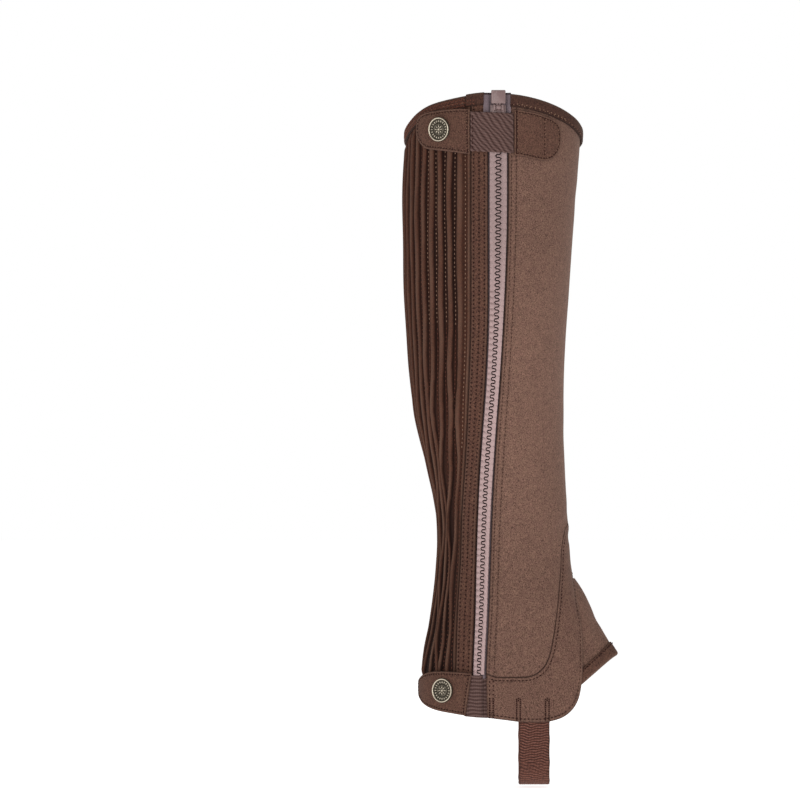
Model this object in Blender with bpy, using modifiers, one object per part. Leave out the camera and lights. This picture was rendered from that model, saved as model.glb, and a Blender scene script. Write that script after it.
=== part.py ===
"""Suede half chap for the right lower leg, filled out as it is when worn.

The frame: +X towards the toes, -Y towards the outer side with the zip, +Z up.
The origin is the middle of the calf hollow at its widest level.
Sizes are in millimetres; MM turns them into Blender's metres.
A place on the leg is a turn in degrees and a height: turn 0 is the shin,
-90 or 270 the outer side, 90 the inner side and 180 the back of the calf.
"""
from math import acos, cos, degrees, pi, radians, sin

import bmesh
import bpy
import numpy as np
from mathutils import Matrix, Vector

MM = 0.001

WALL = 2.0           # suede on its foam backing
SEAM = 0.4           # gap between two pieces at a seam
LAY = 0.45           # gap under a piece that lies on a panel
EGG = 0.06           # how much narrower the leg is at the shin
ROW_SHARES = (       # where the rows lie between rim and hem, close at the ankle
    0.0, 0.03, 0.10, 0.17, 0.24, 0.31, 0.38, 0.44, 0.49, 0.535, 0.575, 0.61, 0.645, 0.68,
    0.715, 0.75, 0.785, 0.825, 0.87, 0.92, 0.97, 1.0,
)
TOE_SPANS = 36       # spans along the toe seam
INNER_HEM_SPANS = 8  # spans of the front panel's hem, inner side

RIM_MEAN = 56.4      # the rim is a tilted loop, highest at the zip
RIM_TILT = 16.85
RIM_SAG = 3.4
BINDING_HEIGHT = 8.5
BINDING_TURN = 2.4   # how far the wall's edge lies inside its binding
BINDING_OUT = 1.8
BINDING_IN = 1.5     # how far a binding's inner leg stands off the wall
HEM_BINDING_HEIGHT = 7.0
RIM_AT_ZIP = 74.0
HEM_AT_ZIP = -328.0
RIM_BINDING_X = (13.6, -16.2)      # where the rim's binding stops before and behind the zip
PLACKET_BINDING_X = (-15.6, -4.0)
PLACKET_BINDING_RISE = 0.9
HEM_BINDING_X = (49.0, -16.0)      # inner toe corner, and under the lower tab

PLEATS = 10
PLEAT_SHARE = 0.88   # the rest of the panel, next to the placket, is flat
PLEAT_HEIGHT = 1.5
PLEAT_FADE = 14.0    # the pleats flatten over this length at both ends

TAB_IN = 2.5         # tabs pass over the pleats and the bindings
TAB_THICK = 1.4
ELASTIC_THICK = 1.1
PATCH_LAY = 0.65
PATCH_THICK = 1.1
FLAP_WALL = 1.8
FLAP_UNDER = -3.0    # how far the tongue's face lies inside the toe piece's
FLAP_CROTCH = (54.4, 0.0, -247.0)  # where the tongue starts between the toe piece's legs
FLAP_TIP = (84.6, 0.0, -296.0)
FLAP_SIDE = (56.5, -322.5)         # x, z of the bound edge's hidden ends
FLAP_BINDING = 5.5
FLAP_EDGE = 2.6      # how far the cloth stops short of the bound edge

SNAP_RADIUS = 7.8
STRAP_BACK = 19.8
STRAP_FRONT = 40.0
STRAP_THICK = 1.6
STRAP_TOP_OUTER = -320.0
STRAP_TOP_INNER = -314.0
STRAP_LEAVES = -341.0  # the hem's height, below which the strap hangs free
STRAP_BOTTOM = -384.0
STRAP_FLAT = 17.0    # half width of the strap's flat sole
STRAP_BEND = 15.0

PULL_AXIS_Z = 67.3
PULL_AXIS_OUT = 4.2
PULL_X = 5.3
PULL_TOP = 79.0
PULL_WIDTH = 9.5
PULL_THICK = 1.5
PIN_RADIUS = 0.6
EYE_BORE = 0.9
EYE_RADIUS = 1.7
EYE_WIDTH = 3.0
LUG_GAP = 3.8
LUG_THICK = 1.5
SLIDER_OUT = 0.9
SLIDER_THICK = 0.8
SLIDER_WIDTH = 10.5
SLIDER_LENGTH = 15.0

# z, back x, front x, half depth. Below the crotch the front is the foot's.
FORM = (
    (85.0, -54.0, 62.6, 55.0),
    (44.0, -55.0, 60.7, 54.5),
    (22.0, -56.0, 58.9, 54.5),
    (0.0, -56.7, 57.3, 54.0),
    (-33.0, -56.4, 54.8, 53.5),
    (-61.0, -55.6, 52.8, 52.5),
    (-89.0, -53.6, 51.0, 51.0),
    (-111.0, -51.8, 50.0, 49.0),
    (-136.0, -48.9, 49.6, 46.5),
    (-153.0, -45.2, 49.9, 44.0),
    (-173.0, -40.4, 50.7, 41.0),
    (-193.0, -36.0, 51.7, 38.2),
    (-209.0, -33.8, 52.6, 36.7),
    (-221.0, -33.3, 53.5, 36.1),
    (-239.0, -34.3, 55.0, 36.0),
    (-248.0, -35.0, 56.8, 36.2),
    (-262.0, -36.6, 62.0, 36.8),
    (-280.0, -39.6, 69.0, 37.5),
    (-295.0, -42.6, 75.0, 38.0),
    (-308.0, -44.2, 79.0, 38.3),
    (-321.0, -44.4, 82.0, 38.5),
    (-345.0, -44.4, 86.0, 38.5),
)

# z, x of the pleat seam, x of the zip's back edge, x of its front edge
ZIP_LINES = (
    (80.0, -12.7, -1.2, 13.0),
    (36.0, -12.7, -1.2, 13.0),
    (-74.0, -12.7, -1.2, 11.4),
    (-116.0, -14.0, -3.0, 8.1),
    (-149.0, -15.3, -5.5, 5.1),
    (-182.0, -17.3, -7.7, 3.1),
    (-204.0, -18.7, -8.7, 2.1),
    (-234.0, -19.6, -9.6, 0.9),
    (-268.0, -21.5, -10.1, -0.1),
    (-309.0, -22.7, -11.8, -1.8),
    (-340.0, -22.9, -12.0, -2.2),
)

# z, inner seam's place as a share of the leg's width, counted from the back
INNER_SEAM = (
    (60.0, 0.125),
    (0.0, 0.10),
    (-45.0, 0.10),
    (-86.0, 0.11),
    (-120.0, 0.12),
    (-142.0, 0.14),
    (-228.0, 0.145),
    (-330.0, 0.135),
)

# z, turn of the seam just behind the calf, where the pleats end
BACK_SEAM = (
    (60.0, 177.0),
    (-100.0, 176.0),
    (-150.0, 170.0),
    (-220.0, 161.0),
    (-330.0, 158.0),
)

# turn, z of the finished hem from the inner toe corner round the back
HEM = (
    (48.0, -332.5),
    (70.0, -331.0),
    (90.0, -328.0),
    (130.0, -324.0),
    (180.0, -321.0),
    (205.0, -324.0),
    (225.0, -328.5),
    (241.0, -331.0),
)

# side, x, z along the toe seam from the zip's foot over the shin to the inner hem
TOE_SEAM = (
    ("outer", -2.0, -309.3),
    ("outer", 3.5, -311.7),
    ("outer", 19.0, -312.0),
    ("outer", 28.5, -311.0),
    ("outer", 35.7, -306.0),
    ("outer", 39.9, -298.0),
    ("outer", 42.8, -285.0),
    ("outer", 45.8, -262.0),
    ("outer", 47.6, -242.0),
    ("outer", 49.5, -219.0),
    ("front", 0.0, -209.5),
    ("inner", 45.8, -220.0),
    ("inner", 43.0, -242.0),
    ("inner", 41.8, -270.0),
    ("inner", 41.2, -300.0),
    ("inner", 40.6, -328.6),
)

# side, x, z along the toe piece's free edge, outer hem to inner hem
TOE_EDGE = (
    ("outer", -2.0, -339.0),
    ("outer", 10.0, -340.5),
    ("outer", 24.0, -342.0),
    ("outer", 40.0, -341.5),
    ("outer", 52.0, -337.0),
    ("outer", 59.5, -327.0),
    ("outer", 62.4, -310.0),
    ("outer", 62.6, -295.0),
    ("outer", 61.9, -280.0),
    ("outer", 59.3, -262.0),
    ("front", 0.0, -245.0),
    ("inner", 59.3, -262.0),
    ("inner", 61.9, -280.0),
    ("inner", 62.6, -295.0),
    ("inner", 61.6, -312.0),
    ("inner", 57.0, -324.0),
    ("inner", 50.5, -328.6),
)

# z, back x, front x of the calf patch on the inner side
PATCH = (
    (8.0, 7.0, 14.0),
    (7.2, 1.5, 18.8),
    (5.5, -5.5, 25.0),
    (2.8, -12.5, 31.2),
    (-0.5, -19.0, 36.4),
    (-4.7, -24.2, 41.0),
    (-11.0, -28.6, 46.0),
    (-19.6, -31.2, 49.2),
    (-34.5, -33.8, 49.6),
    (-60.0, -33.0, 47.6),
    (-86.0, -31.0, 45.4),
    (-117.0, -26.4, 38.4),
    (-142.0, -22.0, 32.0),
    (-172.0, -15.5, 28.0),
    (-197.0, -7.4, 26.8),
    (-221.0, 0.2, 26.6),
    (-236.0, 6.0, 23.6),
    (-242.5, 11.0, 20.5),
    (-245.0, 14.5, 18.0),
)

# x, low z, high z of the two snap tabs, from the rounded end to the elastic
UPPER_TAB = (
    (-48.0, 51.5, 56.5),
    (-47.2, 47.0, 59.5),
    (-44.7, 42.5, 62.6),
    (-41.0, 39.8, 64.2),
    (-33.0, 38.6, 65.5),
    (-21.2, 37.0, 66.4),
    (-13.2, 36.0, 66.0),
)
LOWER_TAB = (
    (-47.0, -323.0, -316.0),
    (-46.4, -326.0, -313.5),
    (-44.0, -329.5, -311.0),
    (-40.0, -332.5, -309.0),
    (-33.4, -334.7, -308.2),
    (-22.0, -336.5, -308.6),
    (-14.2, -337.6, -309.4),
)
UPPER_ELASTIC = (
    (-12.8, 38.1, 64.4),
    (-2.0, 37.6, 64.0),
    (7.0, 37.2, 63.6),
    (11.0, 37.0, 63.4),
    (13.2, 36.9, 63.4),
    (15.4, 36.8, 63.4),
)
ANCHOR_TAB = (
    (15.9, 35.4, 65.8),
    (22.0, 34.4, 65.2),
    (30.0, 32.6, 63.8),
    (36.0, 31.8, 62.0),
    (41.0, 33.2, 60.0),
    (44.6, 37.0, 57.4),
    (46.4, 42.0, 53.8),
    (46.9, 46.0, 50.0),
)
LOWER_ELASTIC = (
    (-13.8, -338.0, -309.8),
    (-11.6, -338.4, -310.6),
    (-8.0, -338.8, -311.0),
    (-5.2, -339.0, -311.0),
    (-2.9, -339.2, -311.0),
)


def smooth(at, table, column):
    """A value of a table at a height or turn, on a curve through its rows."""
    keys = np.array([row[0] for row in table])
    values = np.array([row[column] for row in table])
    if keys[0] > keys[-1]:
        keys = keys[::-1]
        values = values[::-1]
    at = min(max(at, keys[0]), keys[-1])
    slopes = np.gradient(values, keys)
    i = int(min(np.searchsorted(keys, at, side="right") - 1, len(keys) - 2))
    span = keys[i + 1] - keys[i]
    t = (at - keys[i]) / span
    start = (2 * t ** 3 - 3 * t ** 2 + 1) * values[i] + (t ** 3 - 2 * t ** 2 + t) * span * slopes[i]
    end = (3 * t ** 2 - 2 * t ** 3) * values[i + 1] + (t ** 3 - t ** 2) * span * slopes[i + 1]
    return float(start + end)


def section(z):
    """Middle x, half width and half depth of the leg at a height."""
    back = smooth(z, FORM, 1)
    front = smooth(z, FORM, 2)
    return (back + front) / 2, (front - back) / 2, smooth(z, FORM, 3)


def form_xy(turn, z):
    """The form's outline at a height."""
    middle, half_width, half_depth = section(z)
    c = cos(radians(turn))
    s = sin(radians(turn))
    return middle + half_width * c, half_depth * s * (1 - EGG * c)


def outward(turn, z):
    """The level direction that points out of the form."""
    x0, y0 = form_xy(turn - 0.5, z)
    x1, y1 = form_xy(turn + 0.5, z)
    return Vector((y1 - y0, x0 - x1, 0)).normalized()


def place(turn, z, out=0.0):
    """A point on the form, moved out level by a distance."""
    x, y = form_xy(turn, z)
    return Vector((x, y, z)) + float(out) * outward(turn, z)


def turn_at(side, x, z, out=0.0):
    """The turn at which a side of the form, moved out, has the given x."""
    if side == "front":
        return 0.0
    middle, half_width, _ = section(z)
    ratio = min(max((x - middle) / (half_width + out), -1.0), 1.0)
    turn = degrees(acos(ratio))
    return -turn if side == "outer" else turn


def mm_per_degree(turn, z):
    """How far the form's skin runs in one degree of turn."""
    x0, y0 = form_xy(turn - 0.5, z)
    x1, y1 = form_xy(turn + 0.5, z)
    return ((x1 - x0) ** 2 + (y1 - y0) ** 2) ** 0.5


def rim_z(turn):
    """Height of the finished rim."""
    return RIM_MEAN - RIM_TILT * sin(radians(turn)) - RIM_SAG * cos(radians(2 * turn))


def hem_z(turn):
    """Height of the finished inner and back hem."""
    return smooth(turn, HEM, 1)


def through(points, spans):
    """Evenly spaced points on a smooth curve through the given ones."""
    knots = np.array(points, dtype=float)
    padded = np.vstack([2 * knots[0] - knots[1], knots, 2 * knots[-1] - knots[-2]])
    dense = []
    for i in range(1, len(padded) - 2):
        p0, p1, p2, p3 = padded[i - 1:i + 3]
        for t in np.linspace(0, 1, 24, endpoint=False):
            dense.append(0.5 * (2 * p1 + (p2 - p0) * t + (2 * p0 - 5 * p1 + 4 * p2 - p3) * t ** 2
                                + (3 * p1 - p0 - 3 * p2 + p3) * t ** 3))
    dense.append(knots[-1])
    dense = np.array(dense)
    run = np.concatenate([[0], np.cumsum(np.linalg.norm(np.diff(dense, axis=0), axis=1))])
    wanted = np.linspace(0, run[-1], spans + 1)
    return np.stack([np.interp(wanted, run, dense[:, k]) for k in range(2)], axis=1)


def shifted(points, distance):
    """A line on the form moved sideways, to its left as it runs, in millimetres."""
    moved = []
    for i, (turn, z) in enumerate(points):
        scale = mm_per_degree(turn, z)
        before = points[max(i - 1, 0)]
        after = points[min(i + 1, len(points) - 1)]
        run = np.array([(after[0] - before[0]) * scale, after[1] - before[1]])
        run /= np.linalg.norm(run)
        moved.append((turn - run[1] * distance / scale, z + run[0] * distance))
    return np.array(moved)


def patch_grid(top, bottom, left, right, across=None):
    """Turns and heights inside four edge lines that meet at their ends."""
    rows = len(left)
    columns = len(top)
    shares = ROW_SHARES if rows == len(ROW_SHARES) else np.linspace(0, 1, rows)
    if across is None:
        across = np.linspace(0, 1, columns)
    grid = np.zeros((rows, columns, 2))
    for r in range(rows):
        v = shares[r]
        for c in range(columns):
            u = across[c]
            between_ends = (1 - v) * top[c] + v * bottom[c]
            between_sides = (1 - u) * left[r] + u * right[r]
            corners = ((1 - u) * (1 - v) * top[0] + u * (1 - v) * top[-1]
                       + (1 - u) * v * bottom[0] + u * v * bottom[-1])
            grid[r, c] = between_ends + between_sides - corners
    return grid


def material(name, colour, roughness, metallic=0.0):
    """A plain Principled material, reused by name."""
    found = bpy.data.materials.get(name)
    if found:
        return found
    made = bpy.data.materials.new(name)
    made.use_nodes = True
    shader = made.node_tree.nodes["Principled BSDF"]
    shader.inputs["Base Color"].default_value = (*colour, 1.0)
    shader.inputs["Roughness"].default_value = roughness
    shader.inputs["Metallic"].default_value = metallic
    made.diffuse_color = (*colour, 1.0)
    return made


FINISHES = {
    "suede": ((0.145, 0.080, 0.055), 0.95, 0.0),
    "suede_binding": ((0.080, 0.038, 0.026), 0.9, 0.0),
    "stretch_suede": ((0.085, 0.042, 0.030), 0.95, 0.0),
    "webbing": ((0.100, 0.060, 0.060), 0.85, 0.0),
    "foot_elastic": ((0.110, 0.040, 0.028), 0.85, 0.0),
    "zip_tape": ((0.210, 0.160, 0.190), 0.85, 0.0),
    "zip_teeth": ((0.370, 0.260, 0.255), 0.45, 0.0),
    "zip_metal": ((0.360, 0.250, 0.240), 0.4, 0.3),
    "antique_brass": ((0.330, 0.270, 0.170), 0.4, 0.9),
}


def finish_object(thing, slot):
    """Gives an object its own material, shades it and files it with the chap."""
    thing.data.materials.clear()
    thing.data.materials.append(material(thing.name + "_" + slot, *FINISHES[slot]))
    for polygon in thing.data.polygons:
        polygon.use_smooth = True
    thing.data.set_sharp_from_angle(angle=radians(40))
    for holder in list(thing.users_collection):
        holder.objects.unlink(thing)
    CHAP.objects.link(thing)
    return thing


def closed_skin(name, front, back, slot):
    """A closed wall between two grids of points, such as a cut cloth panel."""
    rows = len(front)
    columns = len(front[0])
    shape = bmesh.new()
    face_grid = [[shape.verts.new(p * MM) for p in row] for row in front]
    back_grid = [[shape.verts.new(p * MM) for p in row] for row in back]
    for r in range(rows - 1):
        for c in range(columns - 1):
            shape.faces.new((face_grid[r][c], face_grid[r + 1][c],
                             face_grid[r + 1][c + 1], face_grid[r][c + 1]))
            shape.faces.new((back_grid[r][c], back_grid[r][c + 1],
                             back_grid[r + 1][c + 1], back_grid[r + 1][c]))
    edge = [(0, c) for c in range(columns - 1)]
    edge += [(r, columns - 1) for r in range(rows - 1)]
    edge += [(rows - 1, c) for c in range(columns - 1, 0, -1)]
    edge += [(r, 0) for r in range(rows - 1, 0, -1)]
    for (r0, c0), (r1, c1) in zip(edge, edge[1:] + edge[:1]):
        shape.faces.new((face_grid[r0][c0], face_grid[r1][c1], back_grid[r1][c1], back_grid[r0][c0]))
    return object_from(shape, name, slot)


def object_from(shape, name, slot):
    """A finished object from a closed bmesh."""
    bmesh.ops.recalc_face_normals(shape, faces=shape.faces)
    mesh = bpy.data.meshes.new(name)
    shape.to_mesh(mesh)
    shape.free()
    thing = bpy.data.objects.new(name, mesh)
    CHAP.objects.link(thing)
    return finish_object(thing, slot)


def panel(name, grid, slot, inner=-WALL, outer=0.0):
    """A cloth panel on the form between two distances, numbers or one for each point."""
    rows, columns = grid.shape[:2]
    low = np.broadcast_to(np.asarray(inner, dtype=float), (rows, columns))
    high = np.broadcast_to(np.asarray(outer, dtype=float), (rows, columns))
    front = [[place(*grid[r, c], high[r, c]) for c in range(columns)] for r in range(rows)]
    back = [[place(*grid[r, c], low[r, c]) for c in range(columns)] for r in range(rows)]
    return closed_skin(name, front, back, slot)


def swept(name, stations, slot):
    """A closed bar through sections of equal point counts, capped at both ends."""
    shape = bmesh.new()
    rings = [[shape.verts.new(p * MM) for p in station] for station in stations]
    count = len(rings[0])
    for a, b in zip(rings, rings[1:]):
        for i in range(count):
            j = (i + 1) % count
            shape.faces.new((a[i], a[j], b[j], b[i]))
    shape.faces.new(rings[0])
    shape.faces.new(rings[-1])
    return object_from(shape, name, slot)


def row_heights(top, bottom):
    """The heights of a seam's rows."""
    return [top + (bottom - top) * share for share in ROW_SHARES]


def outer_line(column, bottom=None):
    """One of the zip's long lines on the outer side, rim to hem, turn past the back."""
    top = rim_z(360 + turn_at("outer", smooth(RIM_AT_ZIP, ZIP_LINES, column), RIM_AT_ZIP)) - BINDING_TURN
    if bottom is None:
        low_turn = 360 + turn_at("outer", smooth(HEM_AT_ZIP, ZIP_LINES, column), HEM_AT_ZIP)
        bottom = hem_z(low_turn) + BINDING_TURN
    return np.array([(360 + turn_at("outer", smooth(z, ZIP_LINES, column), z), z)
                     for z in row_heights(top, bottom)])


def inner_line():
    """The inner seam between the front panel and the back strip, rim to hem."""
    def seam_turn(z):
        back = smooth(z, FORM, 1)
        width = smooth(z, FORM, 2) - back if z > -245 else 99.0
        return turn_at("inner", back + smooth(z, INNER_SEAM, 1) * width, z)
    top = rim_z(seam_turn(50.0)) - BINDING_TURN
    bottom = hem_z(seam_turn(-324.0)) + BINDING_TURN
    return np.array([(seam_turn(z), z) for z in row_heights(top, bottom)])


def back_line():
    """The seam just behind the calf, where the pleats end."""
    heights = row_heights(rim_z(BACK_SEAM[0][1]) - BINDING_TURN, hem_z(BACK_SEAM[-1][1]) + BINDING_TURN)
    return np.array([(smooth(z, BACK_SEAM, 1), z) for z in heights])


def top_line(start, end, shares):
    """The walls' upper edge under the binding between two turns."""
    turns = start[0] + (end[0] - start[0]) * np.asarray(shares)
    line = np.array([(turn, rim_z(turn) - BINDING_TURN) for turn in turns])
    line[0] = start
    line[-1] = end
    return line


def hem_line(start, end, shares):
    """The walls' lower edge inside the hem binding between two turns."""
    turns = start[0] + (end[0] - start[0]) * np.asarray(shares)
    line = np.array([(turn, hem_z(turn) + BINDING_TURN) for turn in turns])
    line[0] = start
    line[-1] = end
    return line


def toe_lines():
    """The toe seam and the toe piece's free edge with equal point counts."""
    seam = through([(turn_at(side, x, z), z) for side, x, z in TOE_SEAM], TOE_SPANS)
    edge = through([(turn_at(side, x, z), z) for side, x, z in TOE_EDGE], TOE_SPANS)
    return seam, edge


def build_panels():
    """The suede walls that make the leg tube."""
    seam, edge = toe_lines()
    inner = inner_line()
    back = back_line()
    pleat_seam = outer_line(1)
    placket_edge = outer_line(2)
    front_edge = outer_line(3, seam[0][1]) - np.array([360.0, 0.0])
    seam[0][0] = front_edge[-1][0]

    hem = hem_line(seam[-1], inner[-1], np.linspace(0, 1, INNER_HEM_SPANS + 1))
    lower = np.vstack([seam, hem[1:]])
    top = top_line(front_edge[0], inner[0], np.linspace(0, 1, len(lower)))
    grid = patch_grid(top, lower, front_edge, inner)
    grid[:, -1] = shifted(inner, -SEAM / 2)
    grid[-1, :TOE_SPANS + 1] = shifted(seam, SEAM / 2)
    panel("front_panel", grid, "suede")

    steps = 4
    low_seam = shifted(seam, -SEAM / 2)
    ends = [np.linspace(low_seam[i], edge[i], steps + 1) for i in (0, -1)]
    panel("toe_piece", patch_grid(low_seam, edge, ends[0], ends[1]), "suede")

    shares = np.linspace(0, 1, 5)
    strip = patch_grid(top_line(inner[0], back[0], shares), hem_line(inner[-1], back[-1], shares),
                       inner, back)
    strip[:, 0] = shifted(inner, SEAM / 2)
    strip[:, -1] = shifted(back, -SEAM / 2)
    panel("back_strip", strip, "suede")

    shares = np.concatenate([np.linspace(0, PLEAT_SHARE, PLEATS * 3 + 1), (0.94, 1.0)])
    pleats = patch_grid(top_line(back[0], pleat_seam[0], shares),
                        hem_line(back[-1], pleat_seam[-1], shares), back, pleat_seam, shares)
    pleats[:, 0] = shifted(back, SEAM / 2)
    pleats[:, -1] = shifted(pleat_seam, -SEAM / 2)
    panel("pleat_panel", pleats, "stretch_suede", outer=pleat_relief(pleats))

    shares = np.linspace(0, 1, 4)
    placket = patch_grid(top_line(pleat_seam[0], placket_edge[0], shares),
                         hem_line(pleat_seam[-1], placket_edge[-1], shares), pleat_seam, placket_edge)
    placket[:, 0] = shifted(pleat_seam, SEAM / 2)
    panel("zip_placket", placket, "stretch_suede")


def pleat_relief(grid):
    """Height of the folded tucks: each rises slowly and drops at its stitched edge."""
    rows, columns = grid.shape[:2]
    relief = np.zeros((rows, columns))
    for r in range(rows):
        for c in range(columns):
            z = grid[r, c, 1]
            ends = min(grid[0, c, 1] - z - 8.0, z - grid[-1, c, 1] - 8.0)
            fade = min(max(ends / PLEAT_FADE, 0.0), 1.0)
            rise = (0.0, 0.75, 1.0)[c % 3] if c < PLEATS * 3 else 0.0
            relief[r, c] = PLEAT_HEIGHT * fade * rise
    return relief


def build_patch():
    """The pear-shaped grip patch on the inner side."""
    rows = []
    for z, back_x, front_x in PATCH:
        start = turn_at("inner", back_x, z)
        end = turn_at("inner", front_x, z)
        rows.append([(turn, z) for turn in np.linspace(start, end, 11)])
    panel("calf_patch", np.array(rows), "suede", inner=PATCH_LAY, outer=PATCH_LAY + PATCH_THICK)


def binding_section(turn, edge, down, height):
    """A rolled binding's outline across an edge at a height; down is -1 for a hem."""
    outline = ((LAY, height), (BINDING_OUT - 0.2, height - 0.3), (BINDING_OUT, height * 0.5),
               (BINDING_OUT - 0.4, 0.9), (0.1, 0.0), (-WALL - 0.1, 0.0), (-WALL - BINDING_IN + 0.2, 0.9),
               (-WALL - BINDING_IN, height - 0.6), (-WALL - LAY, height - 0.4),
               (-WALL - LAY, BINDING_TURN - LAY), (LAY, BINDING_TURN - LAY))
    points = []
    for out, depth in outline:
        z = edge - down * depth
        points.append(place(turn, z, out))
    return points


def build_bindings():
    """The rolled bindings of the rim, the placket's end and the inner hem."""
    start = turn_at("outer", RIM_BINDING_X[0], RIM_AT_ZIP)
    end = 360 + turn_at("outer", RIM_BINDING_X[1], RIM_AT_ZIP)
    turns = np.linspace(start, end, 45)
    swept("rim_binding", [binding_section(t, rim_z(t), 1, BINDING_HEIGHT) for t in turns], "suede_binding")
    start = 360 + turn_at("outer", PLACKET_BINDING_X[0], RIM_AT_ZIP)
    end = 360 + turn_at("outer", PLACKET_BINDING_X[1], RIM_AT_ZIP)
    raised = [binding_section(t, rim_z(t) + PLACKET_BINDING_RISE, 1, BINDING_HEIGHT)
              for t in np.linspace(start, end, 4)]
    swept("placket_binding", raised, "suede_binding")
    start = turn_at("inner", HEM_BINDING_X[0], HEM_AT_ZIP)
    end = 360 + turn_at("outer", HEM_BINDING_X[1], HEM_AT_ZIP)
    lower = [binding_section(t, hem_z(t), -1, HEM_BINDING_HEIGHT) for t in np.linspace(start, end, 31)]
    swept("hem_binding", lower, "suede_binding")


def lying_tab(name, table, slot, low, thick, side="outer"):
    """A cloth tab that lies over the outer side, its outline from a table."""
    rows = 5
    grid = np.zeros((rows, len(table), 2))
    inner = np.zeros((rows, len(table)))
    for c, (x, bottom, top) in enumerate(table):
        for r in range(rows):
            z = top + (bottom - top) * r / (rows - 1)
            grid[r, c] = (turn_at(side, x, z, low[c]), z)
            inner[r, c] = low[c]
    panel(name, grid, slot, inner=inner, outer=inner + thick)


def build_tabs():
    """The snap tabs, their elastics and the sewn front anchor."""
    lying_tab("upper_tab", UPPER_TAB, "suede", [TAB_IN] * len(UPPER_TAB), TAB_THICK)
    lying_tab("lower_tab", LOWER_TAB, "suede", [TAB_IN] * len(LOWER_TAB), TAB_THICK)
    elastic_low = [TAB_IN, TAB_IN, TAB_IN, TAB_IN - 0.1, 1.5, LAY]
    lying_tab("upper_elastic", UPPER_ELASTIC, "webbing", elastic_low, ELASTIC_THICK)
    lying_tab("anchor_tab", ANCHOR_TAB, "suede", [LAY] * len(ANCHOR_TAB), TAB_THICK)
    lower_low = [TAB_IN, TAB_IN - 0.2, 0.8, -0.6, -1.2]
    lying_tab("lower_elastic", LOWER_ELASTIC, "webbing", lower_low, ELASTIC_THICK)


def build_zip():
    """The tape in its slot and the two rows of teeth on it."""
    heights = row_heights(75.0, -308.6)
    lines = {}
    for key, back_share, front_share in (("zip_tape", 0.0, 1.0), ("zip_teeth_back", 0.0, 0.5),
                                         ("zip_teeth_front", 0.5, 1.0)):
        rows = []
        for z in heights:
            left = smooth(z, ZIP_LINES, 2) + SEAM
            right = smooth(z, ZIP_LINES, 3) - SEAM
            if key != "zip_tape":
                right -= 0.8
            width = right - left
            start = left + back_share * width + (SEAM / 2 if back_share else 0.0)
            end = left + front_share * width - (SEAM / 2 if front_share < 1 else 0.0)
            level = z if key == "zip_tape" else min(z, 66.0)
            rows.append([(turn_at("outer", x, z), level) for x in np.linspace(start, end, 3)])
        lines[key] = np.array(rows)
    panel("zip_tape", lines["zip_tape"], "zip_tape", inner=-WALL, outer=-WALL + 0.9)
    for key in ("zip_teeth_back", "zip_teeth_front"):
        panel(key, lines[key], "zip_teeth", inner=-WALL + 0.9 + LAY, outer=0.5)


def box(name, size, middle):
    """A plain box in the zip's own upright frame."""
    bpy.ops.mesh.primitive_cube_add(size=1)
    thing = bpy.context.object
    thing.name = name
    thing.data.transform(Matrix.Diagonal((size[0] * MM, size[1] * MM, size[2] * MM, 1)))
    thing.data.transform(Matrix.Translation(Vector(middle) * MM))
    return thing


def cross_bar(name, radius, length, middle):
    """A round bar across the zip."""
    bpy.ops.mesh.primitive_cylinder_add(vertices=16, radius=radius * MM, depth=length * MM)
    thing = bpy.context.object
    thing.name = name
    thing.data.transform(Matrix.Rotation(pi / 2, 4, "Y"))
    thing.data.transform(Matrix.Translation(Vector(middle) * MM))
    return thing


def combine(target, others, operation):
    """Boolean of some objects with a target; the others are removed."""
    for other in others:
        cut = target.modifiers.new(operation.lower(), "BOOLEAN")
        cut.operation = operation
        cut.object = other
        mesh = bpy.data.meshes.new_from_object(target.evaluated_get(bpy.context.evaluated_depsgraph_get()))
        target.modifiers.clear()
        target.data = mesh
        bpy.data.objects.remove(other)
    return target


def zip_frame():
    """The slider's upright frame at the pull's hinge: x across, y inwards, z up."""
    turn = turn_at("outer", PULL_X, PULL_AXIS_Z)
    out = outward(turn, PULL_AXIS_Z)
    across = Vector((0, 0, 1)).cross(out)
    frame = Matrix.Identity(4)
    for i, direction in enumerate((across, -out, Vector((0, 0, 1)))):
        for k in range(3):
            frame[k][i] = direction[k]
    hinge = place(turn, PULL_AXIS_Z, PULL_AXIS_OUT) * MM
    frame.translation = hinge
    return frame


def build_slider():
    """The slider with its bridge, and the pull that hangs on the bridge's pin."""
    frame = zip_frame()
    plate_y = PULL_AXIS_OUT - SLIDER_OUT - SLIDER_THICK / 2
    slider = box("zip_slider", (SLIDER_WIDTH, SLIDER_THICK, SLIDER_LENGTH),
                 (0, plate_y, 1.6 - SLIDER_LENGTH / 2))
    lug_depth = plate_y + 1.1
    lugs = []
    for side in (-1, 1):
        lugs.append(box("lug", (LUG_THICK, lug_depth, 3.4),
                        (side * (LUG_GAP + LUG_THICK) / 2, plate_y - lug_depth / 2, -0.1)))
    pin = cross_bar("pin", PIN_RADIUS, LUG_GAP + LUG_THICK, (0, 0, 0))
    combine(slider, [*lugs, pin], "UNION")
    slider.matrix_world = frame
    finish_object(slider, "zip_metal")

    reach = PULL_TOP - PULL_AXIS_Z
    plate_low = 2.3
    pull = box("zip_pull", (PULL_WIDTH, PULL_THICK, reach - plate_low),
               (0, 0, (reach + plate_low) / 2))
    stem = box("stem", (EYE_WIDTH, PULL_THICK, 2.2), (0, 0, 1.9))
    eye = cross_bar("eye", EYE_RADIUS, EYE_WIDTH, (0, 0, 0))
    bore = cross_bar("bore", EYE_BORE, EYE_WIDTH * 2, (0, 0, 0))
    combine(pull, [stem, eye], "UNION")
    combine(pull, [bore], "DIFFERENCE")
    pull.matrix_world = frame
    finish_object(pull, "zip_metal")


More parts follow.
